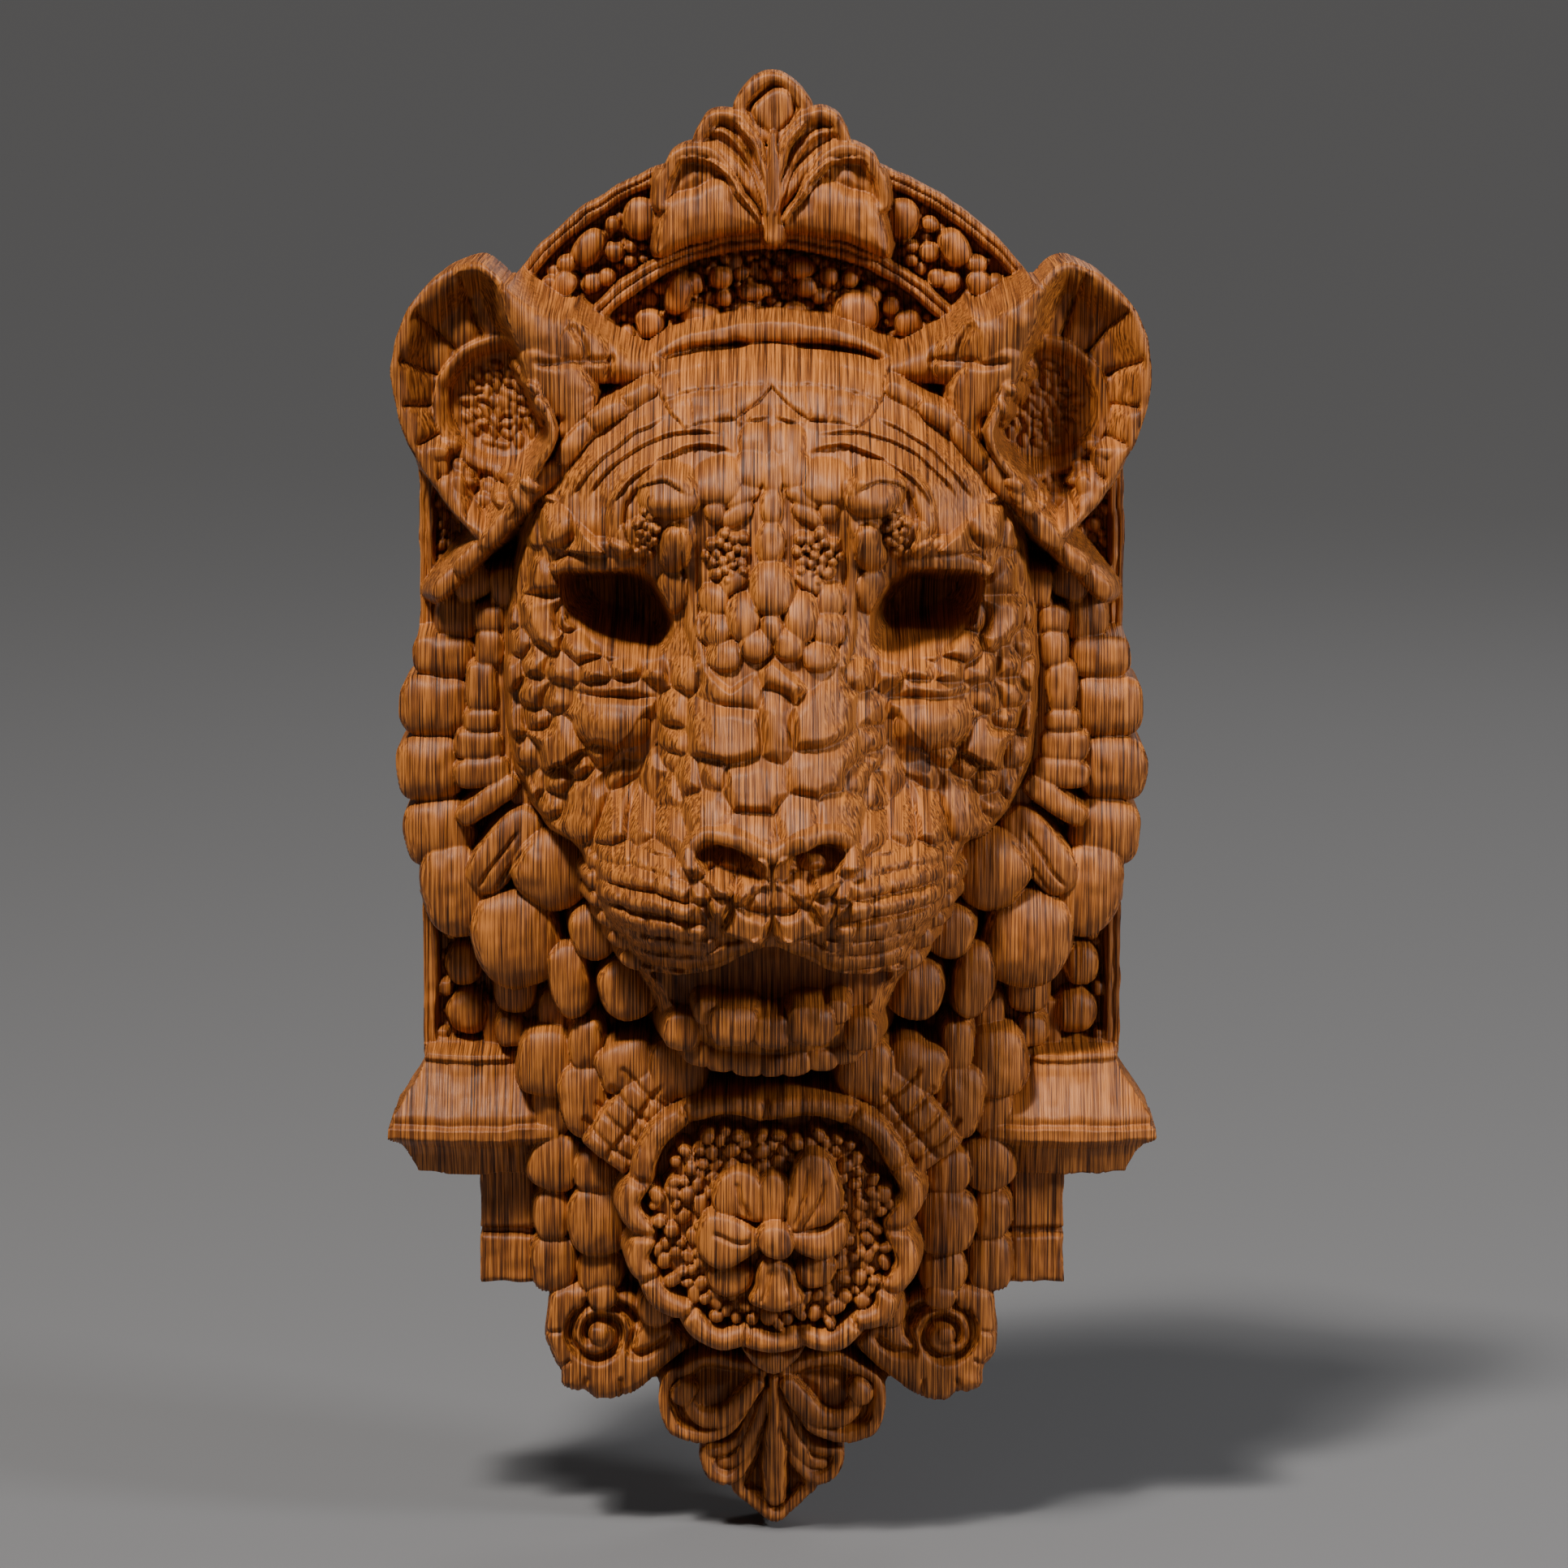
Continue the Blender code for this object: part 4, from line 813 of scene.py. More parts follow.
def face_cells():
    """All cells of the face: the tables', mirrored, and fills where they leave room."""
    cells = []
    for index, (px, py, *shape) in enumerate(FACE_CELLS):
        cells.append((px, py, *shape))
        if not LEFT_BRIDGE.start <= index < LEFT_BRIDGE.stop:
            half_width, half_height, turn, rise = shape
            cells.append((2 * AXIS_PIXEL - px, py, half_width, half_height, -turn, rise))
    cells += BRIDGE_CELLS
    named = len(cells)
    draws = np.random.RandomState(11)
    for row in range(FILL_ROWS):
        for column in range(FILL_COLUMNS):
            px = FILL_START[0] - FILL_STEP_X * (column + 0.5 * (row % 2)) + draws.uniform(-5, 5)
            py = FILL_START[1] + FILL_STEP_Y * row + draws.uniform(-4, 4)
            stretch, squash, rise = draws.uniform(0.85, 1.15, 3)
            turn = draws.uniform(-18, 18)
            room = min(oval_distance(px, -py, a, -b, half_width, half_height, lean)
                       for a, b, half_width, half_height, lean, _ in cells[:named])
            if room > FILL_ROOM:
                half_width, half_height = FILL_HALF_WIDTH * stretch, FILL_HALF_HEIGHT * squash
                rise *= FILL_RISE
                cells.append((px, py, half_width, half_height, turn, rise))
                cells.append((2 * AXIS_PIXEL - px, py, half_width, half_height, -turn, rise))
    return cells


def on_face(sheet, px, py):
    """x, z and pixel size of the places on the face that show at given pixels."""
    reach = np.full(px.shape, 100.0)
    for _ in range(4):
        x, z = spot(px, py, reach)
        reach = face_reach(sheet, x, z)
    return x, z, pixel_size(reach)


def mosaic(relief, sheet):
    """How far the cells rise above the face: pillows with grooves between them."""
    table = np.array(face_cells(), dtype=float)
    place_x, place_z, scale = on_face(sheet, table[:, 0], table[:, 1])
    nearest = np.full(relief.reach.shape, 9.0)
    second = np.full(relief.reach.shape, 9.0)
    size = np.full(relief.reach.shape, 5.0)
    rise = np.zeros(relief.reach.shape)
    draws = np.random.RandomState(5)
    for index, (px, py, half_width, half_height, turn, height) in enumerate(table):
        half_width, half_height = half_width * scale[index], half_height * scale[index]
        margin = max(half_width, half_height) * 2.4
        x0, z0 = place_x[index], place_z[index]
        window, x, z = relief.patch_at(x0, z0, margin)
        r = oval_distance(x, z, x0, z0, half_width, half_height, turn, CELL_SQUARENESS)
        closer = r < nearest[window]
        second[window] = np.where(closer, nearest[window], np.minimum(second[window], r))
        nearest[window] = np.where(closer, r, nearest[window])
        size[window] = np.where(closer, min(half_width, half_height), size[window])
        lean = draws.uniform(-CELL_LEAN, CELL_LEAN)
        foot_rise = CELL_FOOT_RISE * min(height, 2.5) * (z0 - z) / half_height
        own = height + draws.uniform(-CELL_UNEVENNESS, CELL_UNEVENNESS) + lean * (x - x0) + foot_rise
        rise[window] = np.where(closer, own, rise[window])
    edge = np.minimum((second - nearest) * size / 2, np.maximum(1.5 - nearest, 0) * size)
    return CELL_DEPTH * rise * np.sin(np.clip(edge / CELL_ROUNDING, 0, 1) * math.pi / 2)


def brow_beads(relief, sheet):
    """How far the beads of the brow rise above the face."""
    layer = np.zeros(relief.reach.shape)
    rows = list(both_sides(BROW_BEADS))
    draws = np.random.RandomState(23)
    for px, py, half_width, half_height, count, radius, rise in BROW_CLUSTERS:
        for index in range(count):
            turn = index * CLUSTER_TURN
            share = math.sqrt((index + 0.5) / count) * CLUSTER_SPREAD
            a = px + half_width * share * math.cos(turn)
            b = py + half_height * share * math.sin(turn)
            half = 3 * radius * draws.uniform(0.9, 1.3)
            rows += both_sides([(a - half, a + half, b - half, b + half, 0,
                                 rise * draws.uniform(0.8, 1.1), 2.2)])
    for left, right, top, bottom, turn, rise, power in rows:
        centre = np.array([(left + right) / 2]), np.array([(top + bottom) / 2])
        (x0,), (z0,), (scale,) = on_face(sheet, *centre)
        half_width, half_height = (right - left) / 2 * scale, (bottom - top) / 2 * scale
        margin = max(half_width, half_height) * 1.4
        window, x, z = relief.patch_at(x0, z0, margin)
        r = oval_distance(x, z, x0, z0, half_width, half_height, turn, power)
        layer[window] = np.maximum(layer[window], rise * np.sqrt(np.clip(1 - r ** 2.4, 0, 1)))
    return layer


# Ribs laid on the face in pairs: reach to read them at, half line in pixels, width and rise
FACE_RIBS = (
    (104, ((850, 596), (820, 580), (788, 588), (768, 608), (758, 638), (762, 668), (780, 692)),
     7.5, 4.5),
    (106, ((846, 640), (850, 690), (852, 740), (856, 790), (868, 828)), 5.5, 3.6),
    (118, ((732, 1062), (770, 1058), (812, 1061), (842, 1068)), 6.8, 4.0),
    (122, ((728, 1083), (768, 1081), (812, 1084), (850, 1091)), 7.4, 5.0),
    (124, ((734, 1106), (776, 1109), (818, 1112), (856, 1116)), 7.8, 5.6),
    (124, ((744, 1131), (788, 1139), (830, 1142), (872, 1145)), 7.8, 5.2),
    (124, ((758, 1154), (800, 1163), (845, 1165), (888, 1160)), 7.0, 4.4),
)
# Pleats of the temple: reach to read them at, half line in pixels, width and rise
PLEATS = (
    (98, ((908, 556), (862, 548), (812, 564), (772, 592), (748, 628)), 9.0, 4.6),
    (94, ((900, 534), (846, 530), (796, 544), (750, 576), (716, 618)), 9.0, 4.0),
    (90, ((824, 512), (776, 536), (732, 572), (696, 618)), 8.5, 3.6),
    (86, ((806, 488), (756, 516), (712, 556), (676, 606)), 7.5, 3.2),
)
FOREHEAD_EDGE = ((800, 440), (803, 459), (812, 490), (826, 511), (844, 525), (864, 520), (905, 516),
                 (926, 502), (951.5, 480))
# Shallow seams that part the forehead's plates into tiles
FOREHEAD_SEAMS = (
    ((806, 472), (850, 458), (900, 450), (951.5, 448)),
    ((816, 496), (858, 484), (905, 477), (938, 476)),
    ((832, 465), (836, 488)), ((860, 457), (864, 482)), ((890, 452), (892, 478)),
    ((918, 450), (920, 476)), ((848, 488), (850, 518)), ((878, 482), (879, 514)),
    ((906, 478), (906, 510)),
)
# Short notches that part the muzzle's folds into cells
FOLD_NOTCHES = (
    ((776, 1050), (778, 1070)), ((806, 1072), (804, 1096)), ((832, 1052), (834, 1070)),
    ((764, 1098), (766, 1120)), ((826, 1100), (824, 1126)), ((796, 1128), (794, 1152)),
    ((846, 1130), (848, 1154)), ((776, 1146), (774, 1168)), ((824, 1152), (822, 1176)),
    ((866, 1154), (864, 1176)),
)
FOLD_ENDS = (
    (724, 752, 1050, 1076, 0, 96), (719, 750, 1073, 1097, 0, 97), (724, 757, 1097, 1121, -8, 98),
    (736, 770, 1121, 1146, -14, 98), (749, 784, 1145, 1170, -18, 98), (764, 800, 1169, 1197, -18, 98),
)
LIP = ((776, 1184), (812, 1191), (849, 1189), (880, 1177), (899, 1167), (925, 1160), (941, 1152))

# The face's edge falls away, has a thin rim beside the cheeks, and stands on a collar
FACE_EDGE_DROP, FACE_EDGE_WIDTH = 11.0, 13.0
CHEEK_RIM_FOOT, CHEEK_RIM_TOP = -6.0, 72.0
CHEEK_RIM_RISE, CHEEK_RIM_INSET, CHEEK_RIM_WIDTH = 2.6, 3.2, 1.9
COLLAR_WIDTH, COLLAR_REACH = 7.0, 50.0
COLLAR_FOOT, COLLAR_TOP = -62.0, 92.0
# Distance over which the cells fade out beside a plain place
PLAIN_FADE = 2.5


def head(relief, sheet):
    """The mask of the face, its cells, its beads, and the forehead's plates and arcs."""
    outline = curve_through(mirrored(HEAD_OUTLINE), 4, True)
    window, x, z = relief.patch_round(outline, 12)
    outside = polygon_distance(x, z, outline)
    ground = face_reach(sheet, x, z)
    cells = mosaic(relief, sheet)[window]
    for px, py, half_width, half_height, turn, rise in SWELLINGS:
        (x0,), (z0,), (scale,) = on_face(sheet, np.array([px]), np.array([py]))
        for side in (1, -1):
            r = oval_distance(x, z, side * x0, z0, half_width * scale, half_height * scale,
                              side * turn, 2)
            ground = ground + rise * np.exp(-1.2 * r * r)
    for reach, pixels in PLAIN_PLACES:
        for place in HALVES:
            cells = cells * eased(polygon_distance(x, z, place(spots(pixels, reach))) / PLAIN_FADE)
    top = ground - FACE_EDGE_DROP * (1 - rounded(-outside / FACE_EDGE_WIDTH))
    rises = np.maximum(cells, brow_beads(relief, sheet)[window])
    cheek = eased((z - CHEEK_RIM_FOOT) / 14) * eased((CHEEK_RIM_TOP - z) / 14)
    top = top + CHEEK_RIM_RISE * cheek * np.exp(-((-outside - CHEEK_RIM_INSET) / CHEEK_RIM_WIDTH) ** 2)
    collar = np.maximum(outside - COLLAR_WIDTH, np.maximum(z - COLLAR_TOP, COLLAR_FOOT - z))
    relief.raise_to(window, np.full(x.shape, COLLAR_REACH), collar)
    relief.raise_to(window, top + rises * eased((-outside - 0.5) / 3), outside)

    relief.lift(joined(spots(FOREHEAD_EDGE, 84)), 4.4, 5.0)
    for pixels in FOREHEAD_SEAMS:
        groove_pair(relief, spots(pixels, 84), 2.0, 1.2, taper=False)
    for reach, pixels, width, rise in FACE_RIBS:
        rib_pair(relief, pixels, reach, width, rise)
    for reach, pixels, width, rise in PLEATS:
        line = smooth_line(pixels, reach, 5)
        relief.pleat(line, width, rise, -1)
        relief.pleat(flipped(line), width, rise, 1)
    for pixels in FOLD_NOTCHES:
        groove_pair(relief, spots(pixels, 124), 2.6, 1.8, taper=False)
    rib_pair(relief, LIP, 126, 6.4, 3.8)
    bead_rows(relief, FOLD_ENDS, dome_share=0.9)


EYE_SOCKET = (
    (686, 712), (700, 702), (735, 698), (778, 696), (806, 712), (826, 746), (829, 788), (806, 810),
    (760, 803), (716, 782), (692, 750),
)
SOCKET_DEPTH = 36.0
SOCKET_TOP_WALL, SOCKET_FOOT_WALL = 9.0, 15.0
SOCKET_INNER_X = 40.0
EYELID = ((686, 704), (708, 695), (738, 691), (784, 690))


def eyes(relief):
    """Deep sockets under a lid that stands out like a shelf."""
    socket = smooth_outline(EYE_SOCKET, 86)
    lid = smooth_line(EYELID, 92)
    top_z = max(z for x, z in socket)
    foot_z = min(z for x, z in socket)
    for place in HALVES:
        relief.leaf(place(lid), (2.6, 3.6, 4.0, 3.6), (87, 95, 99, 98), 3.0)
        window, x, z = relief.patch_round(place(socket), 8)
        outside = polygon_distance(x, z, place(socket))
        fall = np.clip((top_z - z) / (top_z - foot_z), 0, 1)
        outward = np.clip((np.abs(x) - SOCKET_INNER_X) / 14, 0, 1)
        wall = SOCKET_TOP_WALL + (SOCKET_FOOT_WALL - SOCKET_TOP_WALL) * fall
        wall = wall * (0.35 + 0.65 * outward)
        relief.reach[window] -= SOCKET_DEPTH * eased(-outside / wall)


NOSE_RIDGE = ((849, 1070), (851, 1052), (864, 1036), (888, 1032), (912, 1038), (934, 1048),
              (951.5, 1053))
NOSE_RISE = 5.0
NOSTRIL = ((856, 1056), (868, 1042), (890, 1038), (912, 1044), (934, 1054), (946, 1066), (942, 1092),
           (926, 1104), (896, 1096), (870, 1080))
NOSTRIL_DEPTH = 15.0
SEPTUM = ((951.5, 1056), (953, 1096), (953, 1136))


def nose(relief):
    """The M-shaped ridge of the nose, the nostrils below it and the septum."""
    ridge = curve_through(joined(spots(NOSE_RIDGE, 146)), 6, False)
    reaches = [relief.at(*place) + NOSE_RISE for place in ridge[::6]]
    nostril = smooth_outline(NOSTRIL, 140)
    high = max(z for x, z in nostril)
    low = min(z for x, z in nostril)
    for place in HALVES:
        window, x, z = relief.patch_round(place(nostril), 6)
        share = np.clip((z - low) / (high - low), 0, 1) ** 0.8
        outside = polygon_distance(x, z, place(nostril))
        relief.reach[window] -= NOSTRIL_DEPTH * share * eased(-outside / 3.0)
    relief.leaf(ridge, (2.6, 3.4, 3.4, 3.6, 3.4, 3.4, 2.6), reaches, 3.4)
    relief.leaf(spots(SEPTUM, 144), (8.5, 6, 3), (145, 142, 134), 5)


MOUTH_REACH = 94.0
MOUTH_TOP = ((802, 1208), (838, 1210), (868, 1205), (894, 1195), (920, 1182), (951.5, 1170))
MOUTH_FOOT = ((812, 1230), (828, 1246), (850, 1256), (900, 1256), (951.5, 1262))
# Beads of the jaw as pixel boxes with a turn and a rise above the jaw
JAW_BEADS = (
    (818, 863, 1250, 1298, -8, 8.5), (855, 885, 1232, 1264, 6, 7.0), (872, 934, 1240, 1292, 4, 10.5),
    (928, 975, 1252, 1296, 0, 8.5), (842, 878, 1286, 1314, -12, 5.5), (870, 908, 1292, 1322, -4, 5.5),
    (902, 942, 1296, 1328, 0, 5.0), (936, 967, 1298, 1330, 0, 5.5),
)


def mouth(relief, sheet):
    """The dark opening below the upper lip, and the jaw's beads."""
    top = curve_through(joined(spots(MOUTH_TOP, 116)), 4, False)
    foot = curve_through(joined(spots(MOUTH_FOOT, 112)), 4, False)
    opening = top + foot[::-1]
    window, x, z = relief.patch_round(opening, 8)
    relief.sink_to(window, np.full(x.shape, MOUTH_REACH), polygon_distance(x, z, opening))
    rows = []
    for left, right, high, low, turn, rise in JAW_BEADS:
        x, z = spot((left + right) / 2, (high + low) / 2, 110)
        rows.append((left, right, high, low, turn, face_reach(sheet, x, z) + rise))
    bead_rows(relief, rows, dome_share=0.6, power=3.0)


CORD_PIXELS = ((806, 476), (766, 500), (725, 524), (692, 571), (652, 612), (599, 670), (566, 703),
               (536, 734))
CORD_REACHES = (76, 81, 83, 81, 77, 69, 62, 55)
CORD_RADIUS, CORD_DOME = 4.2, 3.4
CORD_OVERLAP = 1.12


def cord(relief):
    """Long beads end to end from the crown down below each ear."""
    places = [spot(px, py, reach) for (px, py), reach in zip(CORD_PIXELS, CORD_REACHES)]
    for (x0, z0), (x1, z1), a, b in zip(places, places[1:], CORD_REACHES, CORD_REACHES[1:]):
        turn = math.degrees(math.atan2(z1 - z0, x1 - x0))
        half = math.hypot(x1 - x0, z1 - z0) / 2 * CORD_OVERLAP
        for side in (1, -1):
            relief.bead(side * (x0 + x1) / 2, (z0 + z1) / 2, half, CORD_RADIUS, side * turn,
                        (a + b) / 2, dome=CORD_DOME, power=2.8)


CROWN_BAND = ((800, 450), (844, 424), (898, 413), (951.5, 409))
CROWN_SLIT = ((812, 451), (836, 437), (872, 430), (926, 427))


def crown_band(relief):
    """The raised band over the forehead, and the slit below it."""
    band = curve_through(joined(spots(CROWN_BAND, 58)), 6, False)
    relief.leaf(band, (2.8, 4.0, 4.4, 4.0, 2.8), (60, 56, 53, 56, 60), 2.2)
    groove_pair(relief, smooth_line(CROWN_SLIT, 60), 3.4, 7.0)


STRAP = ((717, 1411), (735, 1428), (770, 1454), (802, 1412), (836, 1358), (822, 1334), (807, 1314),
         (768, 1340), (738, 1376))
STRAP_LINE = ((734, 1442), (776, 1392), (820, 1332))
STRAP_CROSSINGS = 5


def straps(relief):
    """A pair of quilted straps beside the rosette's top."""
    line = smooth_line(STRAP_LINE, 68)
    for place in HALVES:
        relief.plate(place(spots(STRAP, 68)), 69, 2, 4, 10)
        relief.groove(place(line), 2.6, 1.8)
        for x, z in line[2:2 + 2 * STRAP_CROSSINGS:2]:
            across = [(x + 13 * t, z - 9 * t - 3 * (1 - t * t)) for t in (-1, -0.5, 0, 0.5, 1)]
            relief.groove(place(across), 2.6, 1.8, taper=False)


# The rosette's outline where its lobes meet, and how far each lobe swells out between them
ROSETTE_LOBES = (
    (836, 1362, 0.10), (944, 1355, 0.07), (1060, 1362, 0.10), (1122, 1434, 0.22), (1118, 1516, 0.24),
    (1108, 1600, 0.22), (1066, 1644, 0.20), (990, 1664, 0.10), (916, 1664, 0.20), (838, 1630, 0.16),
    (786, 1582, 0.22), (780, 1524, 0.24), (776, 1452, 0.14),
)
ROSETTE_REACH = 78.0
ROSETTE_FLOOR = 60.0
ROSETTE_MOUND = 12.0
ROSETTE_RECESS = 5.0
ROSETTE_BORDER = 9.4
# The rolled border from its edge inward: distance, and rise above the rosette's reach
BORDER_PROFILE = (
    (0, -5.0), (0.8, -2.4), (2.2, -0.8), (4.4, 0), (6.6, -0.4), (8.2, -1.6), (ROSETTE_BORDER, -3.6),
    (ROSETTE_BORDER + 1.6, ROSETTE_FLOOR - ROSETTE_REACH),
)
# How far the notches between the lobes run towards the centre, and the flower's radius
NOTCH_SHARE = 0.24
FLOWER_RADIUS = 25
ROSETTE_CENTRE = (953, 1531)
ROSETTE_TONGUE = ((914, 1662), (924, 1680), (940, 1692), (954, 1697), (968, 1692), (982, 1680),
                  (990, 1662), (970, 1668), (954, 1664), (936, 1668))
# The flower's petals as outlines with a reach, from the back ones to the front ones
PETALS = (
    (80, ((870, 1567), (902, 1560), (930, 1566), (920, 1592), (897, 1600), (874, 1588))),
    (80, ((980, 1558), (1012, 1550), (1032, 1560), (1022, 1582), (996, 1590), (981, 1576))),
    (83, ((940, 1507), (910, 1502), (888, 1500), (878, 1479), (886, 1454), (908, 1441), (933, 1450),
          (944, 1476))),
    (84, ((941, 1508), (931, 1478), (938, 1456), (955, 1446), (970, 1458), (974, 1484), (966, 1508))),
    (86, ((972, 1520), (970, 1490), (974, 1452), (984, 1430), (1000, 1420), (1022, 1430), (1034, 1462),
          (1034, 1496), (1008, 1514))),
    (85, ((936, 1520), (906, 1502), (874, 1496), (860, 1520), (862, 1548), (886, 1568), (916, 1556),
          (938, 1540))),
    (86, ((978, 1521), (1010, 1518), (1038, 1504), (1044, 1530), (1028, 1550), (1000, 1554),
          (978, 1540))),
    (85, ((940, 1556), (970, 1558), (980, 1582), (988, 1608), (958, 1618), (924, 1608), (930, 1586))),
    (91, ((932, 1532), (941, 1513), (958, 1509), (974, 1520), (978, 1541), (964, 1555), (944, 1551))),
)
PETAL_CREASES = (
    ((926, 1504), (912, 1480), (906, 1456)), ((976, 1518), (990, 1476), (994, 1436)),
    ((984, 1518), (1010, 1480), (1018, 1448)), ((928, 1530), (900, 1528), (876, 1518)),
    ((948, 1560), (944, 1584), (936, 1606)), ((964, 1560), (970, 1584), (974, 1606)),
)


def lobed(corners):
    """An outline whose stretches swell out between its corners."""
    loop = []
    for index, (ax, az, swell) in enumerate(corners):
        bx, bz = corners[(index + 1) % len(corners)][:2]
        out_x, out_z = az - bz, bx - ax
        for step in range(10):
            t = step / 10
            out = swell * math.sin(math.pi * t)
            loop.append((ax + (bx - ax) * t + out_x * out, az + (bz - az) * t + out_z * out))
    return loop


def rosette(relief):
    """A lobed border round a sunk floor with a wreath of beads and a flower."""
    corners = [(*spot(px, py, ROSETTE_REACH), swell) for px, py, swell in ROSETTE_LOBES]
    outline = lobed(corners)
    window, x, z = relief.patch_round(outline, 12)
    outside = polygon_distance(x, z, outline)
    centre_x, centre_z = spot(*ROSETTE_CENTRE, 84)

    def recess_at(height):
        return ROSETTE_RECESS * eased((height - centre_z - 12) / 20)

    top = ROSETTE_REACH + np.interp(-outside, *zip(*BORDER_PROFILE))
    mound = ROSETTE_MOUND * eased((-outside - ROSETTE_BORDER - 0.6 - recess_at(z)) / 4.5)
    relief.raise_to(window, top + mound, outside)
    for corner_x, corner_z, _ in corners:
        inner = (corner_x + (centre_x - corner_x) * NOTCH_SHARE,
                 corner_z + (centre_z - corner_z) * NOTCH_SHARE)
        relief.groove([(corner_x, corner_z), inner], 3.4, 2.6, taper=False)

    def inside(px, pz, radius):
        gap = polygon_distance(np.array([[px]]), np.array([[pz]]), outline)[0, 0]
        off_flower = math.hypot(px - centre_x, (pz - centre_z) * 0.92) > FLOWER_RADIUS
        return gap < -ROSETTE_BORDER - 1.0 - recess_at(pz) - radius * 0.6 and off_flower

    box = (centre_x - 56, centre_x + 56, centre_z - 52, centre_z + 52)
    pebbles(relief, seed=41, count=420, box=box, inside=inside, sizes=(2.0, 3.9),
            ground=ROSETTE_FLOOR + ROSETTE_MOUND - 0.5, rise=4.2)
    for reach, pixels in PETALS:
        relief.plate(smooth_outline(pixels, reach), reach + 1, 2.0, 3.0, 9)
    for pixels in PETAL_CREASES:
        relief.groove(smooth_line(pixels, 82, 5), 2.4, 1.6)
    relief.plate(smooth_outline(ROSETTE_TONGUE, 72), 72, 3, 3, 6)


VOLUTE = ((681, 1590), (674, 1618), (672, 1645), (679, 1672), (690, 1690), (693, 1708), (708, 1716),
          (722, 1716), (740, 1727), (776, 1720), (811, 1694), (846, 1660), (834, 1636), (800, 1618),
          (770, 1590), (722, 1580))
VOLUTE_EYE = (738, 1644)
VOLUTE_REACH = 42.0
VOLUTE_EYE_RADIUS, VOLUTE_EYE_DOME = 3.9, 3.0
# The spiral: its outer radius, the share of it that is lost on the way in, its turns and its cut
SPIRAL_RADIUS, SPIRAL_LOSS = 15.0, 0.70
SPIRAL_TURNS = 1.5
SPIRAL_START = math.radians(20)
SPIRAL_STEPS = 69
SPIRAL_WIDTH, SPIRAL_DEPTH = 3.8, 6.5
VOLUTE_INNER_EDGE = ((760, 1606), (786, 1628), (776, 1662), (800, 1664), (830, 1642))
SCALLOP_GROOVES = (
    ((690, 1640), (674, 1642)), ((700, 1676), (682, 1690)), ((722, 1700), (714, 1720)),
    ((764, 1700), (768, 1722)),
)
VOLUTE_SIDE_BEADS = ((724, 762, 1584, 1616, 20, 47), (786, 830, 1592, 1638, 0, 52),
                     (690, 722, 1588, 1616, 0, 44))


def volutes(relief):
    """A scroll on each side below the rosette, with a spiral cut round its eye."""
    eye_x, eye_z = spot(*VOLUTE_EYE, VOLUTE_REACH)
    spiral = []
    for step in range(SPIRAL_STEPS + 1):
        share = step / SPIRAL_STEPS
        angle = SPIRAL_START + 2 * math.pi * SPIRAL_TURNS * share
        radius = SPIRAL_RADIUS * (1 - SPIRAL_LOSS * share)
        spiral.append((eye_x + radius * math.cos(angle), eye_z + radius * math.sin(angle)))
    outline = smooth_outline(VOLUTE, VOLUTE_REACH)
    for place in HALVES:
        relief.plate(place(outline), VOLUTE_REACH + 2, 4, 4, 9)
        relief.groove(place(spiral), SPIRAL_WIDTH, SPIRAL_DEPTH, taper=False)
        (bead_x, bead_z), = place([(eye_x, eye_z)])
        relief.bead(bead_x, bead_z, VOLUTE_EYE_RADIUS, VOLUTE_EYE_RADIUS, 0, VOLUTE_REACH + 4,
                    dome=VOLUTE_EYE_DOME)
        relief.groove(place(smooth_line(VOLUTE_INNER_EDGE, VOLUTE_REACH, 5)), 4.0, 4.5)
        for pixels in SCALLOP_GROOVES:
            relief.groove(place(spots(pixels, VOLUTE_REACH)), 2.0, 1.6, taper=False)
    bead_rows(relief, VOLUTE_SIDE_BEADS, dome_share=0.6, power=2.6)


SCROLL_LEAF = ((868, 1668), (842, 1682), (820, 1694), (811, 1716), (813, 1741), (824, 1765),
               (844, 1776), (869, 1779), (897, 1770), (918, 1750), (934, 1714), (944, 1690),
               (920, 1676))
SIDE_LEAF = ((864, 1784), (864, 1806), (877, 1824), (901, 1830), (924, 1810), (940, 1770),
             (949, 1710), (930, 1716), (912, 1762), (890, 1780))
TIP_LEAF = ((902, 1830), (918, 1850), (954, 1875), (990, 1850), (1006, 1830), (990, 1790),
            (972, 1730), (954, 1700), (936, 1730), (918, 1790))
BULB = ((846, 1714), (841, 1720))
COMMA = ((846, 1722), (856, 1744), (880, 1750), (908, 1736), (932, 1706))
SIDE_RIB = ((946, 1712), (930, 1762), (908, 1800), (888, 1806))
TEARDROP = ((953, 1696), (953, 1760), (954, 1820), (954, 1846))


def pendant(relief):
    """The hanging palmette below the rosette: two pairs of leaves, a tip and a teardrop."""
    relief.shell(smooth_outline(TIP_LEAF, 32), 33, 4.5, 7)
    leaf_pair(relief, SIDE_LEAF, 37, 4.0, 5)
    leaf_pair(relief, SCROLL_LEAF, 41, 4.6, 7)
    for place in HALVES:
        relief.leaf(place(spots(BULB, 44)), (4.6, 4.8), (45, 45), 4)
        relief.leaf(place(smooth_line(COMMA, 43)), (2.6, 3.6, 4.2, 4.6, 3.4), (42, 43, 43, 44, 45), 3)
        relief.leaf(place(smooth_line(SIDE_RIB, 38)), (1.6, 2.4, 2.8, 2.4), (42, 41, 38, 35), 2)
    relief.leaf(smooth_line(TEARDROP, 38), (1.8, 2.6, 5.4, 4.6), (45, 43, 40, 36), 4)


GRAIN_RISE = 0.30
GRAIN_ROWS = 26


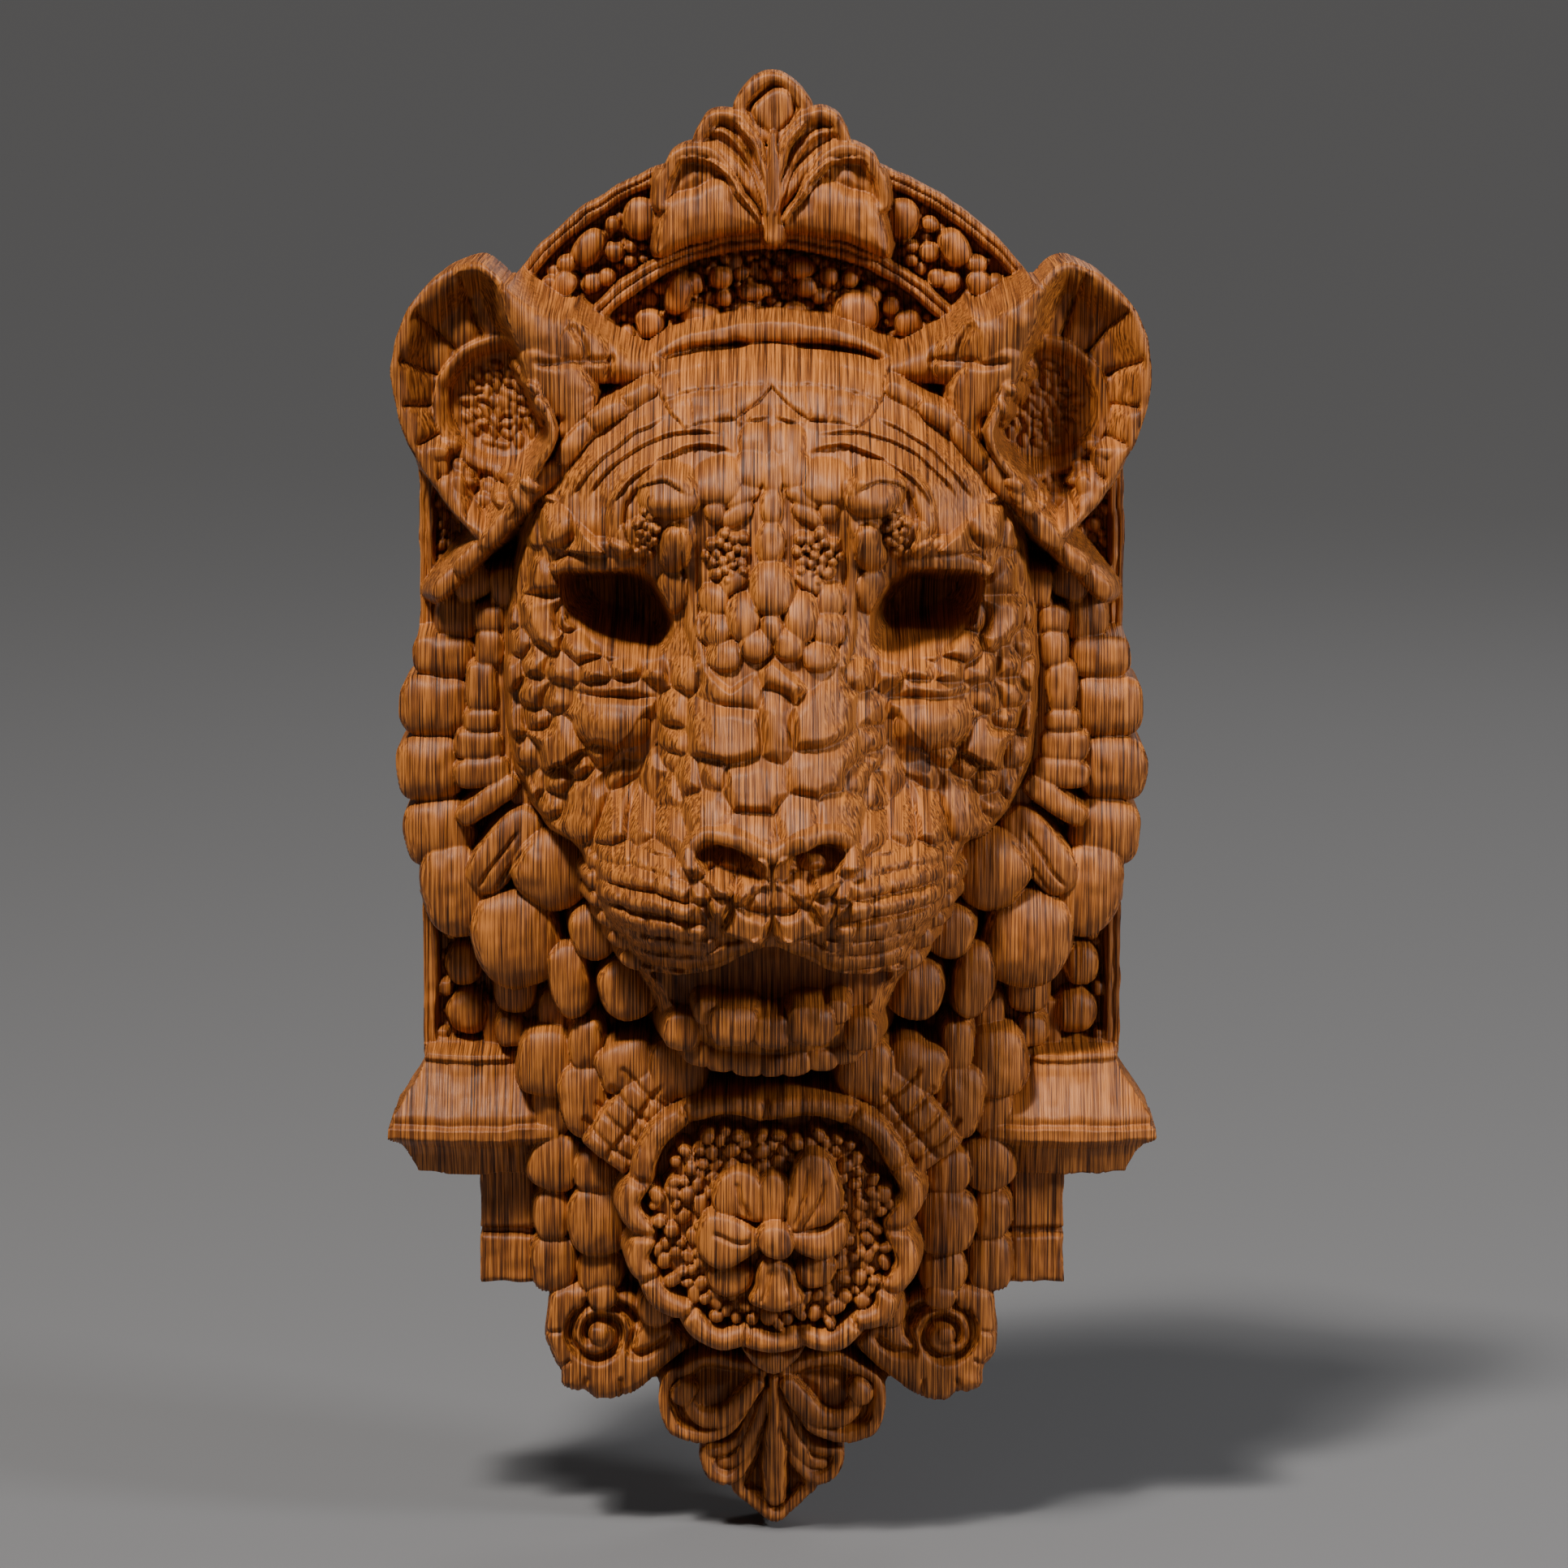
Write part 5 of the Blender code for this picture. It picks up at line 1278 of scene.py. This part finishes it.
def grain(relief):
    """Fine upright ridges of the wood."""
    draws = np.random.RandomState(77)
    coarse = draws.uniform(-1, 1, (GRAIN_ROWS, len(relief.x)))
    coarse = (coarse + np.roll(coarse, 1, axis=1) * 0.6) / 1.6
    level = np.linspace(0, GRAIN_ROWS - 1.001, len(relief.z))
    low = level.astype(int)
    share = (level - low)[:, None]
    relief.reach += GRAIN_RISE * (coarse[low] * (1 - share) + coarse[low + 1] * share)
    relief.reach += TOOL_MARKS * smooth_noise(draws, relief.reach.shape, MARK_LENGTH)


def build_surface():
    relief = Relief()
    sheet = fit_face()
    board(relief)
    arch_pebbles(relief)
    panel_beads(relief)
    relief.plate(mirrored(LOWER_BACKING), 24.0, edge=2.0)
    top_palmette(relief)
    for side in (1, -1):
        post(relief, side)
        capital(relief, side)
        ear(relief, side)
    ear_flank(relief)
    volutes(relief)
    pendant(relief)
    mane(relief)
    straps(relief)
    rosette(relief)
    head(relief, sheet)
    crown_band(relief)
    eyes(relief)
    nose(relief)
    mouth(relief, sheet)
    cord(relief)
    grain(relief)
    return relief


def blurred(values):
    """Each value averaged with its eight neighbours."""
    padded = np.pad(values, 1, mode="edge")
    rows = padded[:-2] + padded[1:-1] + padded[2:]
    return (rows[:, :-2] + rows[:, 1:-1] + rows[:, 2:]) / 9


# Grid corners this close to the outline slide onto it
SLIDE_REACH = 0.75 * CELL_Z


def settle_points(relief):
    """Place the grid's corners: those near the outline slide onto it."""
    x, z = np.meshgrid(relief.x, relief.z)
    slope_z, slope_x = np.gradient(relief.outside, CELL_Z, CELL_X)
    steep = slope_x ** 2 + slope_z ** 2 + 1e-9
    slide = np.where(np.abs(relief.outside) < SLIDE_REACH, relief.outside / steep, 0)
    slide = np.clip(slide, -CELL_X, CELL_X)
    relief.point_x = x - slide * slope_x
    relief.point_z = z - slide * slope_z
    rise_z, rise_x = np.gradient(relief.reach, CELL_Z, CELL_X)
    soft_z, soft_x = np.gradient(blurred(blurred(relief.reach)), CELL_Z, CELL_X)
    steepness = eased((np.hypot(rise_x, rise_z) - 1.5) / 3)
    rise_x = rise_x + (soft_x - rise_x) * steepness
    rise_z = rise_z + (soft_z - rise_z) * steepness
    length = np.sqrt(1 + rise_x ** 2 + rise_z ** 2)
    relief.normal = np.stack([-rise_x / length, -1 / length, -rise_z / length], axis=-1)
    out_z, out_x = np.gradient(blurred(blurred(relief.outside)), CELL_Z, CELL_X)
    length = np.hypot(out_x, out_z) + 1e-9
    relief.side_normal = np.stack([out_x / length, np.zeros(x.shape), out_z / length], axis=-1)


def clean_cells(cells):
    """Drop cells that touch others only at a corner, so that every edge has two faces."""
    cells = cells.copy()
    while True:
        a, b = cells[:-1, :-1], cells[:-1, 1:]
        c, d = cells[1:, :-1], cells[1:, 1:]
        first = a & d & ~b & ~c
        second = b & c & ~a & ~d
        if not first.any() and not second.any():
            return cells
        row, column = np.nonzero(first)
        cells[row, column] = False
        row, column = np.nonzero(second)
        cells[row, column + 1] = False


def edge_of(cells):
    """Edges round a set of cells, as pairs of corners, with the cells on their left."""
    rows, columns = cells.shape
    padded = np.zeros((rows + 2, columns + 2), bool)
    padded[1:-1, 1:-1] = cells
    edges = []
    for bare, corners in ((padded[:-2, 1:-1], (0, 0, 0, 1)), (padded[1:-1, 2:], (0, 1, 1, 1)),
                          (padded[2:, 1:-1], (1, 1, 1, 0)), (padded[1:-1, :-2], (1, 0, 0, 0))):
        row, column = np.nonzero(cells & ~bare)
        edges.append(np.stack([row + corners[0], column + corners[1], row + corners[2],
                               column + corners[3]], axis=1))
    return np.concatenate(edges)


def add_object(name, data):
    """An object in the scene that shows a mesh, a lamp or a camera."""
    item = bpy.data.objects.new(name, data)
    bpy.context.scene.collection.objects.link(item)
    return item


def mesh_piece(name, relief, cells, wood):
    """A closed solid over a set of cells: carved front, straight sides and a flat back."""
    cells = clean_cells(cells)
    rows, columns = cells.shape
    used = np.zeros((rows + 1, columns + 1), bool)
    for down in (0, 1):
        for over in (0, 1):
            used[down:rows + down, over:columns + over] |= cells
    number = np.full(used.shape, -1)
    number[used] = np.arange(used.sum())
    row, column = np.nonzero(cells)
    fronts = np.stack([number[row, column], number[row, column + 1], number[row + 1, column + 1],
                       number[row + 1, column]], axis=1)
    edges = edge_of(cells)
    starts = number[edges[:, 0], edges[:, 1]]
    ends = number[edges[:, 2], edges[:, 3]]
    rim = np.unique(starts)
    front_count = int(used.sum())
    below = np.full(front_count, -1)
    below[rim] = front_count + np.arange(len(rim))
    walls = np.stack([ends, starts, below[starts], below[ends]], axis=1)

    after = dict(zip(starts.tolist(), ends.tolist()))
    backs = []
    while after:
        start, at = next(iter(after.items()))
        loop = [start]
        del after[start]
        while at != start:
            loop.append(at)
            at = after.pop(at)
        backs.append([int(below[i]) for i in reversed(loop)])

    front = np.stack([relief.point_x[used], -relief.reach[used], relief.point_z[used]], axis=1)
    back = front[rim] * (1, 0, 1)
    wall_corners = np.stack([ends, starts, starts, ends], axis=1)
    normals = np.concatenate([relief.normal[used][fronts.ravel()],
                              relief.side_normal[used][wall_corners.ravel()]])
    return make_mesh(name, np.concatenate([front, back]) * MM, np.concatenate([fronts, walls]), backs,
                     normals, wood)


def make_mesh(name, points, quads, polygons, normals, wood):
    """A mesh object from points, four-sided faces with their normals, and larger faces at the back."""
    corners = np.concatenate([quads.ravel()] + [np.array(polygon) for polygon in polygons])
    sizes = np.concatenate([np.full(len(quads), 4), [len(polygon) for polygon in polygons]]).astype(int)
    starts = np.concatenate([[0], np.cumsum(sizes)[:-1]])
    mesh = bpy.data.meshes.new(name)
    mesh.vertices.add(len(points))
    mesh.vertices.foreach_set("co", points.astype(np.float32).ravel())
    mesh.loops.add(len(corners))
    mesh.loops.foreach_set("vertex_index", corners.astype(np.int32))
    mesh.polygons.add(len(sizes))
    mesh.polygons.foreach_set("loop_start", starts.astype(np.int32))
    mesh.update(calc_edges=True)
    mesh.shade_smooth()
    shading = np.tile((0.0, 1.0, 0.0), (len(corners), 1))
    shading[:len(normals)] = normals
    mesh.normals_split_custom_set(shading)
    mesh.materials.append(wood)
    return add_object(name, mesh)


# The wood's noises: stretch across, forward and upward, then detail and roughness
FRONT_STREAKS = ((1650, 16, 30), 3.0, 0.62)
SIDE_FIBRES = ((900, 900, 26), 3.0, 0.6)
BROAD_BANDS = ((260, 14, 7), 2.0, 0.5)
BROAD_SHARE = 0.14
# How far a face has to look sideways for the fibres to begin, and to take over
SIDE_BEGINS, SIDE_FULL = 0.50, 0.75
# The wood's colours by noise value
DARK_WOOD = (0.36, (0.045, 0.012, 0.003, 1))
MIDDLE_WOOD = (0.475, (0.235, 0.069, 0.012, 1))
LIGHT_WOOD = (0.59, (0.58, 0.198, 0.038, 1))
DARK_ROUGHNESS, LIGHT_ROUGHNESS = 0.56, 0.40
WOOD_SPECULAR = 0.36
BUMP_STRENGTH, BUMP_DEPTH = 0.8, 0.0005


def set_inputs(node, **values):
    """Set a node's inputs by name, with a low line for each space in the name."""
    for key, value in values.items():
        node.inputs[key.replace("_", " ")].default_value = value


def wood_material():
    """Orange-brown wood with dark upright streaks, a streaky bump and a soft gloss."""
    wood = bpy.data.materials.new("carved_wood")
    wood.use_nodes = True
    tree = wood.node_tree
    shader = tree.nodes["Principled BSDF"]
    set_inputs(shader, Specular_IOR_Level=WOOD_SPECULAR)

    def node(kind, **inputs):
        item = tree.nodes.new(kind)
        set_inputs(item, **inputs)
        return item

    def link(source, output, target, entry):
        tree.links.new(source.outputs[output], target.inputs[entry])

    def blend(first, second):
        item = node("ShaderNodeMix")
        item.data_type = "FLOAT"
        link(*first, item, "A")
        link(*second, item, "B")
        return item

    place = node("ShaderNodeTexCoord")

    def streaks(stretch, detail, roughness):
        mapping = node("ShaderNodeMapping", Scale=stretch)
        link(place, "Object", mapping, "Vector")
        noise = node("ShaderNodeTexNoise", Scale=1.0, Detail=detail, Roughness=roughness)
        link(mapping, "Vector", noise, "Vector")
        return noise, "Fac"

    # Long streaks on the faces that look forward, and fibres that run upward on the steep sides
    split = node("ShaderNodeSeparateXYZ")
    link(place, "Normal", split, "Vector")
    sideways = node("ShaderNodeMath")
    sideways.operation = "ABSOLUTE"
    link(split, "X", sideways, 0)
    side_share = node("ShaderNodeMapRange", From_Min=SIDE_BEGINS, From_Max=SIDE_FULL)
    link(sideways, "Value", side_share, "Value")
    fine = blend(streaks(*FRONT_STREAKS), streaks(*SIDE_FIBRES))
    link(side_share, "Result", fine, "Factor")
    tone = blend((fine, "Result"), streaks(*BROAD_BANDS))
    set_inputs(tone, Factor=BROAD_SHARE)

    ramp = node("ShaderNodeValToRGB")
    stops = ramp.color_ramp.elements
    stops[0].position, stops[0].color = DARK_WOOD
    stops[1].position, stops[1].color = LIGHT_WOOD
    middle = stops.new(MIDDLE_WOOD[0])
    middle.color = MIDDLE_WOOD[1]
    link(tone, "Result", ramp, "Fac")
    link(ramp, "Color", shader, "Base Color")
    gloss = node("ShaderNodeMapRange", To_Min=DARK_ROUGHNESS, To_Max=LIGHT_ROUGHNESS)
    link(fine, "Result", gloss, "Value")
    link(gloss, "Result", shader, "Roughness")
    bump = node("ShaderNodeBump", Strength=BUMP_STRENGTH, Distance=BUMP_DEPTH)
    link(fine, "Result", bump, "Height")
    link(bump, "Normal", shader, "Normal")
    return wood


KEY_PLACE = (-0.62, -1.18, 2.02)
# Soft lamps: name, place in metres, power, colour and size
LAMPS = (
    ("key", KEY_PLACE, 52.0, (1.0, 0.96, 0.91), 0.26),
    ("side", (1.85, -0.95, 0.80), 27.0, (0.97, 0.98, 1.0), 0.4),
    ("rear", (1.2, 2.6, 1.9), 14.0, (1.0, 1.0, 1.0), 1.0),
)
EVEN_POWER, EVEN_COLOUR, EVEN_SPREAD = 1.6, (1.0, 0.97, 0.93), math.radians(9)
WORLD_STRENGTH, WORLD_COLOUR = 0.06, (0.8, 0.82, 0.85, 1)
FARTHEST_VIEW = 200.0


def camera_and_stage():
    cosine, sine = math.cos(CAMERA_PITCH), math.sin(CAMERA_PITCH)
    target = Vector((TARGET_X, -TARGET_REACH, TARGET_Z)) * MM
    view = bpy.data.cameras.new("camera")
    view.sensor_width = SENSOR
    view.lens = FOCAL_PIXELS / PHOTO_SIZE * SENSOR
    view.clip_end = FARTHEST_VIEW
    camera = add_object("camera", view)
    camera.location = target + Vector((0, -cosine, sine)) * CAMERA_DISTANCE * MM
    camera.rotation_euler = (math.radians(90) - CAMERA_PITCH, 0, 0)
    bpy.context.scene.camera = camera

    def lamp(name, kind, location, power, colour):
        light = bpy.data.lights.new(name, kind)
        light.energy = power
        light.color = colour
        item = add_object(name, light)
        item.location = location
        item.rotation_euler = (Vector(location) * -1).to_track_quat("-Z", "Y").to_euler()
        return light

    for name, place, power, colour, size in LAMPS:
        lamp(name, "AREA", place, power, colour).size = size
    # The even light reaches the far floor too, and comes from where the key light comes from
    lamp("even", "SUN", KEY_PLACE, EVEN_POWER, EVEN_COLOUR).angle = EVEN_SPREAD
    world = bpy.data.worlds.new("studio")
    world.use_nodes = True
    set_inputs(world.node_tree.nodes["Background"], Color=WORLD_COLOUR, Strength=WORLD_STRENGTH)
    bpy.context.scene.world = world
    stage()


FLOOR_Z = -0.306
FLOOR_HALF_WIDTH = 60.0
FLOOR_COLOUR, FLOOR_ROUGHNESS = (0.18, 0.18, 0.185, 1), 0.9


def stage():
    """A flat grey floor just under the tip, wide enough to fill the view behind the carving."""
    corners = [(FLOOR_HALF_WIDTH * across, FLOOR_HALF_WIDTH * back, FLOOR_Z)
               for across, back in ((-1, -1), (1, -1), (1, 1), (-1, 1))]
    mesh = bpy.data.meshes.new("floor")
    mesh.from_pydata(corners, [], [(0, 1, 2, 3)])
    grey = bpy.data.materials.new("studio_grey")
    grey.use_nodes = True
    set_inputs(grey.node_tree.nodes["Principled BSDF"], Base_Color=FLOOR_COLOUR,
               Roughness=FLOOR_ROUGHNESS)
    mesh.materials.append(grey)
    floor = add_object("floor", mesh)


# A grid point counts as wood up to this far outside the outline
EDGE_REACH = 0.65 * CELL_X
# Heights at which the surface is parted
FOREHEAD_FOOT, ARCHES_FOOT, ROSETTE_TOP, VOLUTES_TOP = 72, 100, -100, -190


def main():
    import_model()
    relief = build_surface()
    settle_points(relief)
    wood = wood_material()
    inside = relief.outside < EDGE_REACH
    cells = inside[:-1, :-1] & inside[1:, :-1] & inside[:-1, 1:] & inside[1:, 1:]
    x, z = np.meshgrid(relief.x[:-1], relief.z[:-1])
    in_head = polygon_distance(x, z, curve_through(mirrored(HEAD_OUTLINE), 4, True)) < 0
    zones = {
        "forehead_and_eyes": in_head & (z > FOREHEAD_FOOT),
        "muzzle_and_cheeks": in_head & (z <= FOREHEAD_FOOT),
        "arches_and_ears": ~in_head & (z > ARCHES_FOOT),
        "mane_and_board": ~in_head & (z <= ARCHES_FOOT) & (z > ROSETTE_TOP),
        "rosette_and_posts": ~in_head & (z <= ROSETTE_TOP) & (z > VOLUTES_TOP),
        "volutes_and_pendant": ~in_head & (z <= VOLUTES_TOP),
    }
    for name, zone in zones.items():
        piece = mesh_piece(name, relief, cells & zone, wood)
        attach(piece, "root")
        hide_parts(NODE)
    camera_and_stage()


main()
